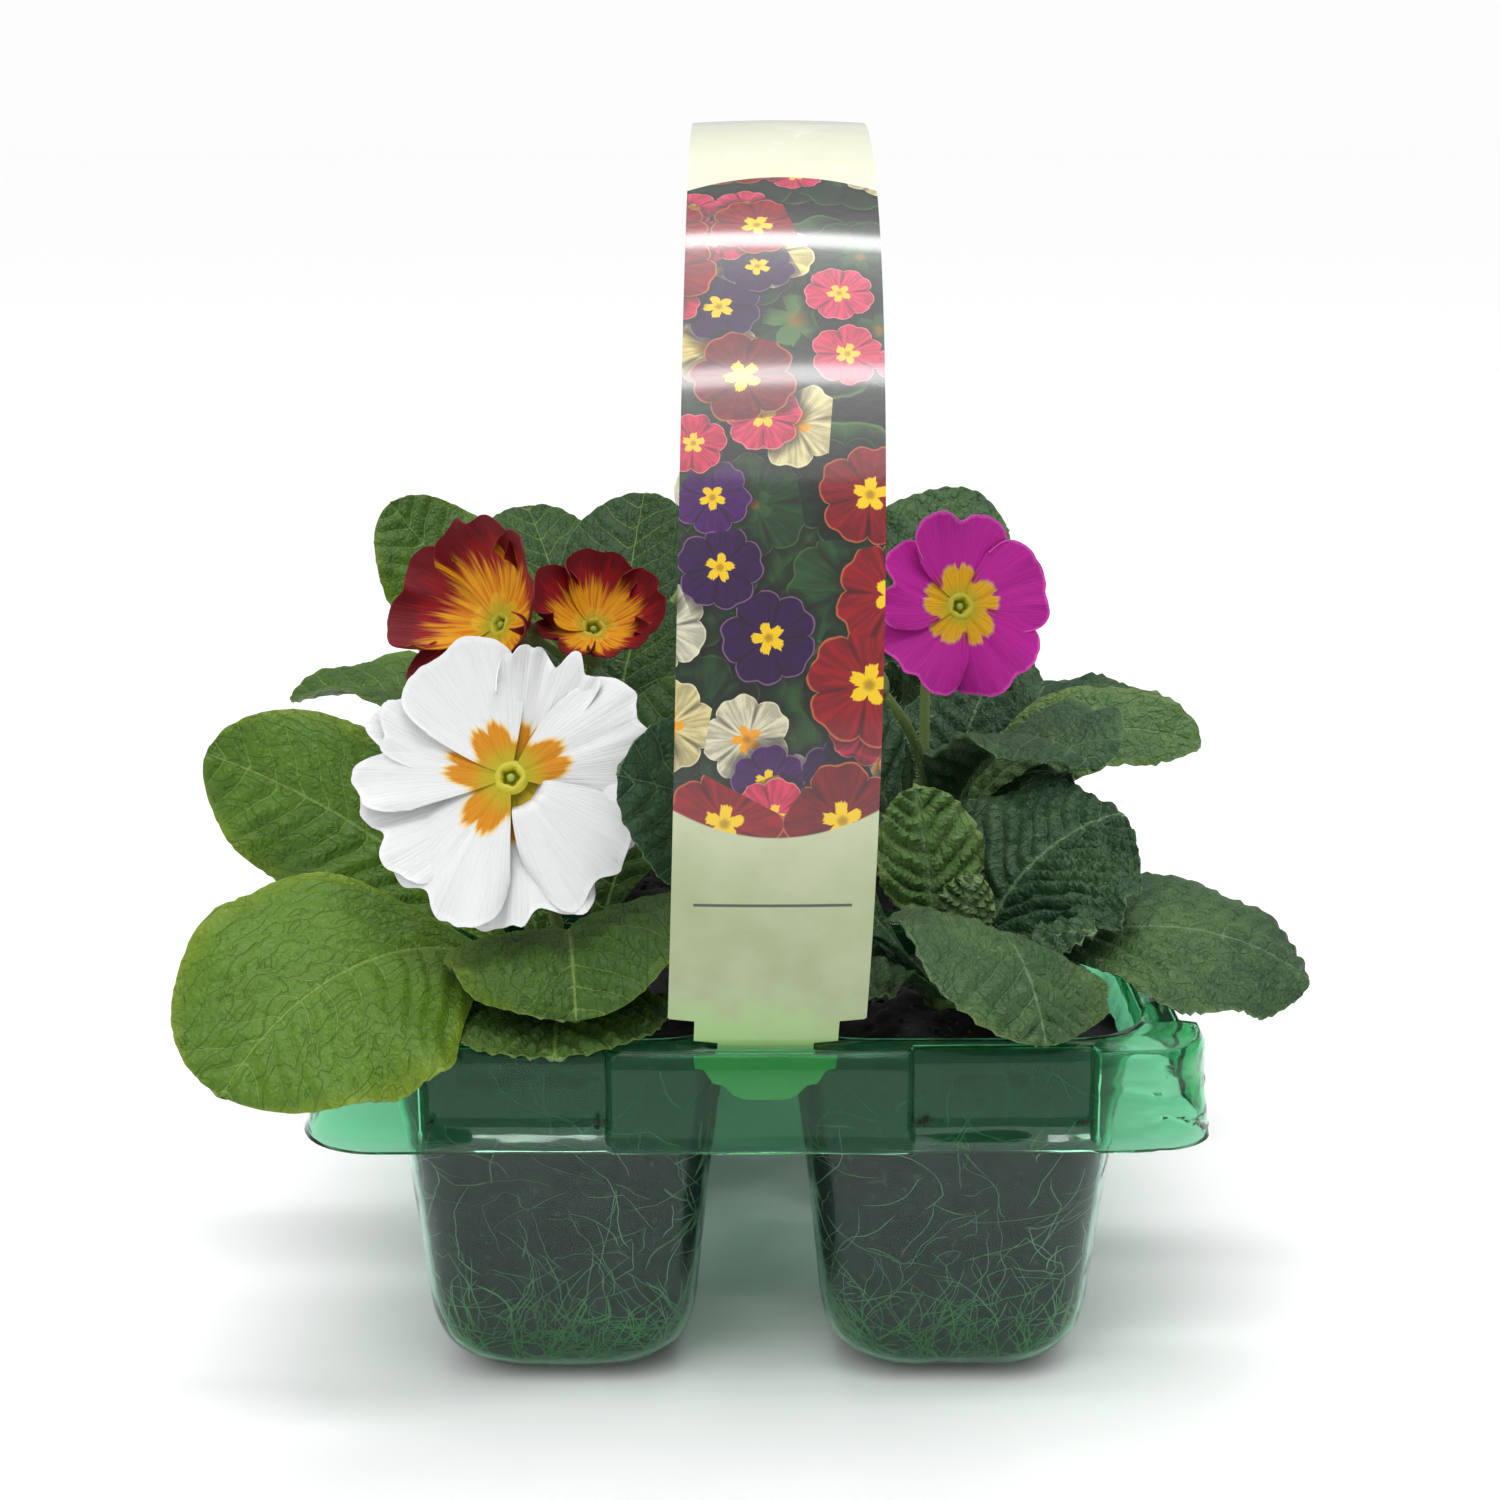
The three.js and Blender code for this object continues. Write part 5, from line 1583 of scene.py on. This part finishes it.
def pale_floor():
    """A wide plain floor under the pots."""
    mesh = bpy.data.meshes.new("floor")
    reach = FLOOR_REACH
    corners = [(-reach, -reach, 0), (reach, -reach, 0), (reach, reach, 0), (-reach, reach, 0)]
    mesh.from_pydata(corners, [], [(0, 1, 2, 3)])
    floor = in_scene("floor", mesh)
    _, join = finish_material("pale_floor", Base_Color=colour(252, 252, 252), Roughness=0.9)
    floor.data.materials.append(join())
    floor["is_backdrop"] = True


def even_sky():
    """A sky of one white all round."""
    world = bpy.data.worlds.new("room")
    world.use_nodes = True
    net = Net(world.node_tree)
    background = world.node_tree.nodes["Background"]
    net.feed(background.inputs["Color"], colour(253, 253, 254))
    seen = net.output("Is Camera Ray", "ShaderNodeLightPath")
    strength = net.math("MULTIPLY_ADD", seen, SKY_SHOWN, SKY_STRENGTH)
    net.feed(background.inputs["Strength"], strength)
    bpy.context.scene.world = world


def lamp(name, kind, power):
    """A lamp in the scene, still to be shaped and aimed."""
    light = bpy.data.lights.new(name, kind)
    light.energy = power
    return in_scene(name, light)


def lamps():
    """Two broad suns give soft shape from above and from the front left, and two long strip lamps
    overhead put bands of gloss on the card."""
    for name, (heading, lean, strength, width) in SUNS.items():
        sun = lamp(name, "SUN", strength)
        sun.data.angle = np.radians(width)
        sun.rotation_euler = (np.radians(lean), 0, np.radians(heading))
    for name, back in STRIPS.items():
        strip = lamp(name, "AREA", STRIP_POWER)
        strip.data.shape = "RECTANGLE"
        strip.data.size, strip.data.size_y = STRIP_LENGTH, STRIP_WIDTH
        strip.location = (STRIP_RIGHT, back, STRIP_HEIGHT)
        aim = Vector(STRIP_AIM) - strip.location
        strip.rotation_euler = aim.to_track_quat("-Z", "Y").to_euler()


# The width of the camera's picture, the length of its lens, and how far to the right of straight
# ahead it aims, all in pixels. Then its sensor's width in millimetres, how far down it looks in
# degrees, and its place in metres.
FRAME_PIXELS = 1500
LENS_PIXELS = 2485
AIM_PIXELS = 8
SENSOR_WIDTH = 36
LOOKS_DOWN = 14
CAMERA_PLACE = (-0.003, -0.5213, 0.2292)


def camera():
    """Stands in front of the pack, above the blooms."""
    pitch, yaw = np.radians(LOOKS_DOWN), np.arctan(AIM_PIXELS / LENS_PIXELS)
    lens = bpy.data.cameras.new("camera")
    lens.sensor_width = SENSOR_WIDTH
    lens.lens = SENSOR_WIDTH * LENS_PIXELS / FRAME_PIXELS
    lens.clip_start = 0.01
    eye = in_scene("camera", lens)
    eye.location = CAMERA_PLACE
    eye.rotation_euler = (np.pi / 2 - pitch, 0, -yaw)
    bpy.context.scene.camera = eye


pale_floor()
even_sky()
lamps()
camera()
bpy.context.scene.view_settings.view_transform = "Standard"

bpy.context.view_layer.update()
sizes = {"cad": CAD_BOX, "made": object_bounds()}
{key: [list(map(float, corner)) for corner in box] for key, box in sizes.items()}
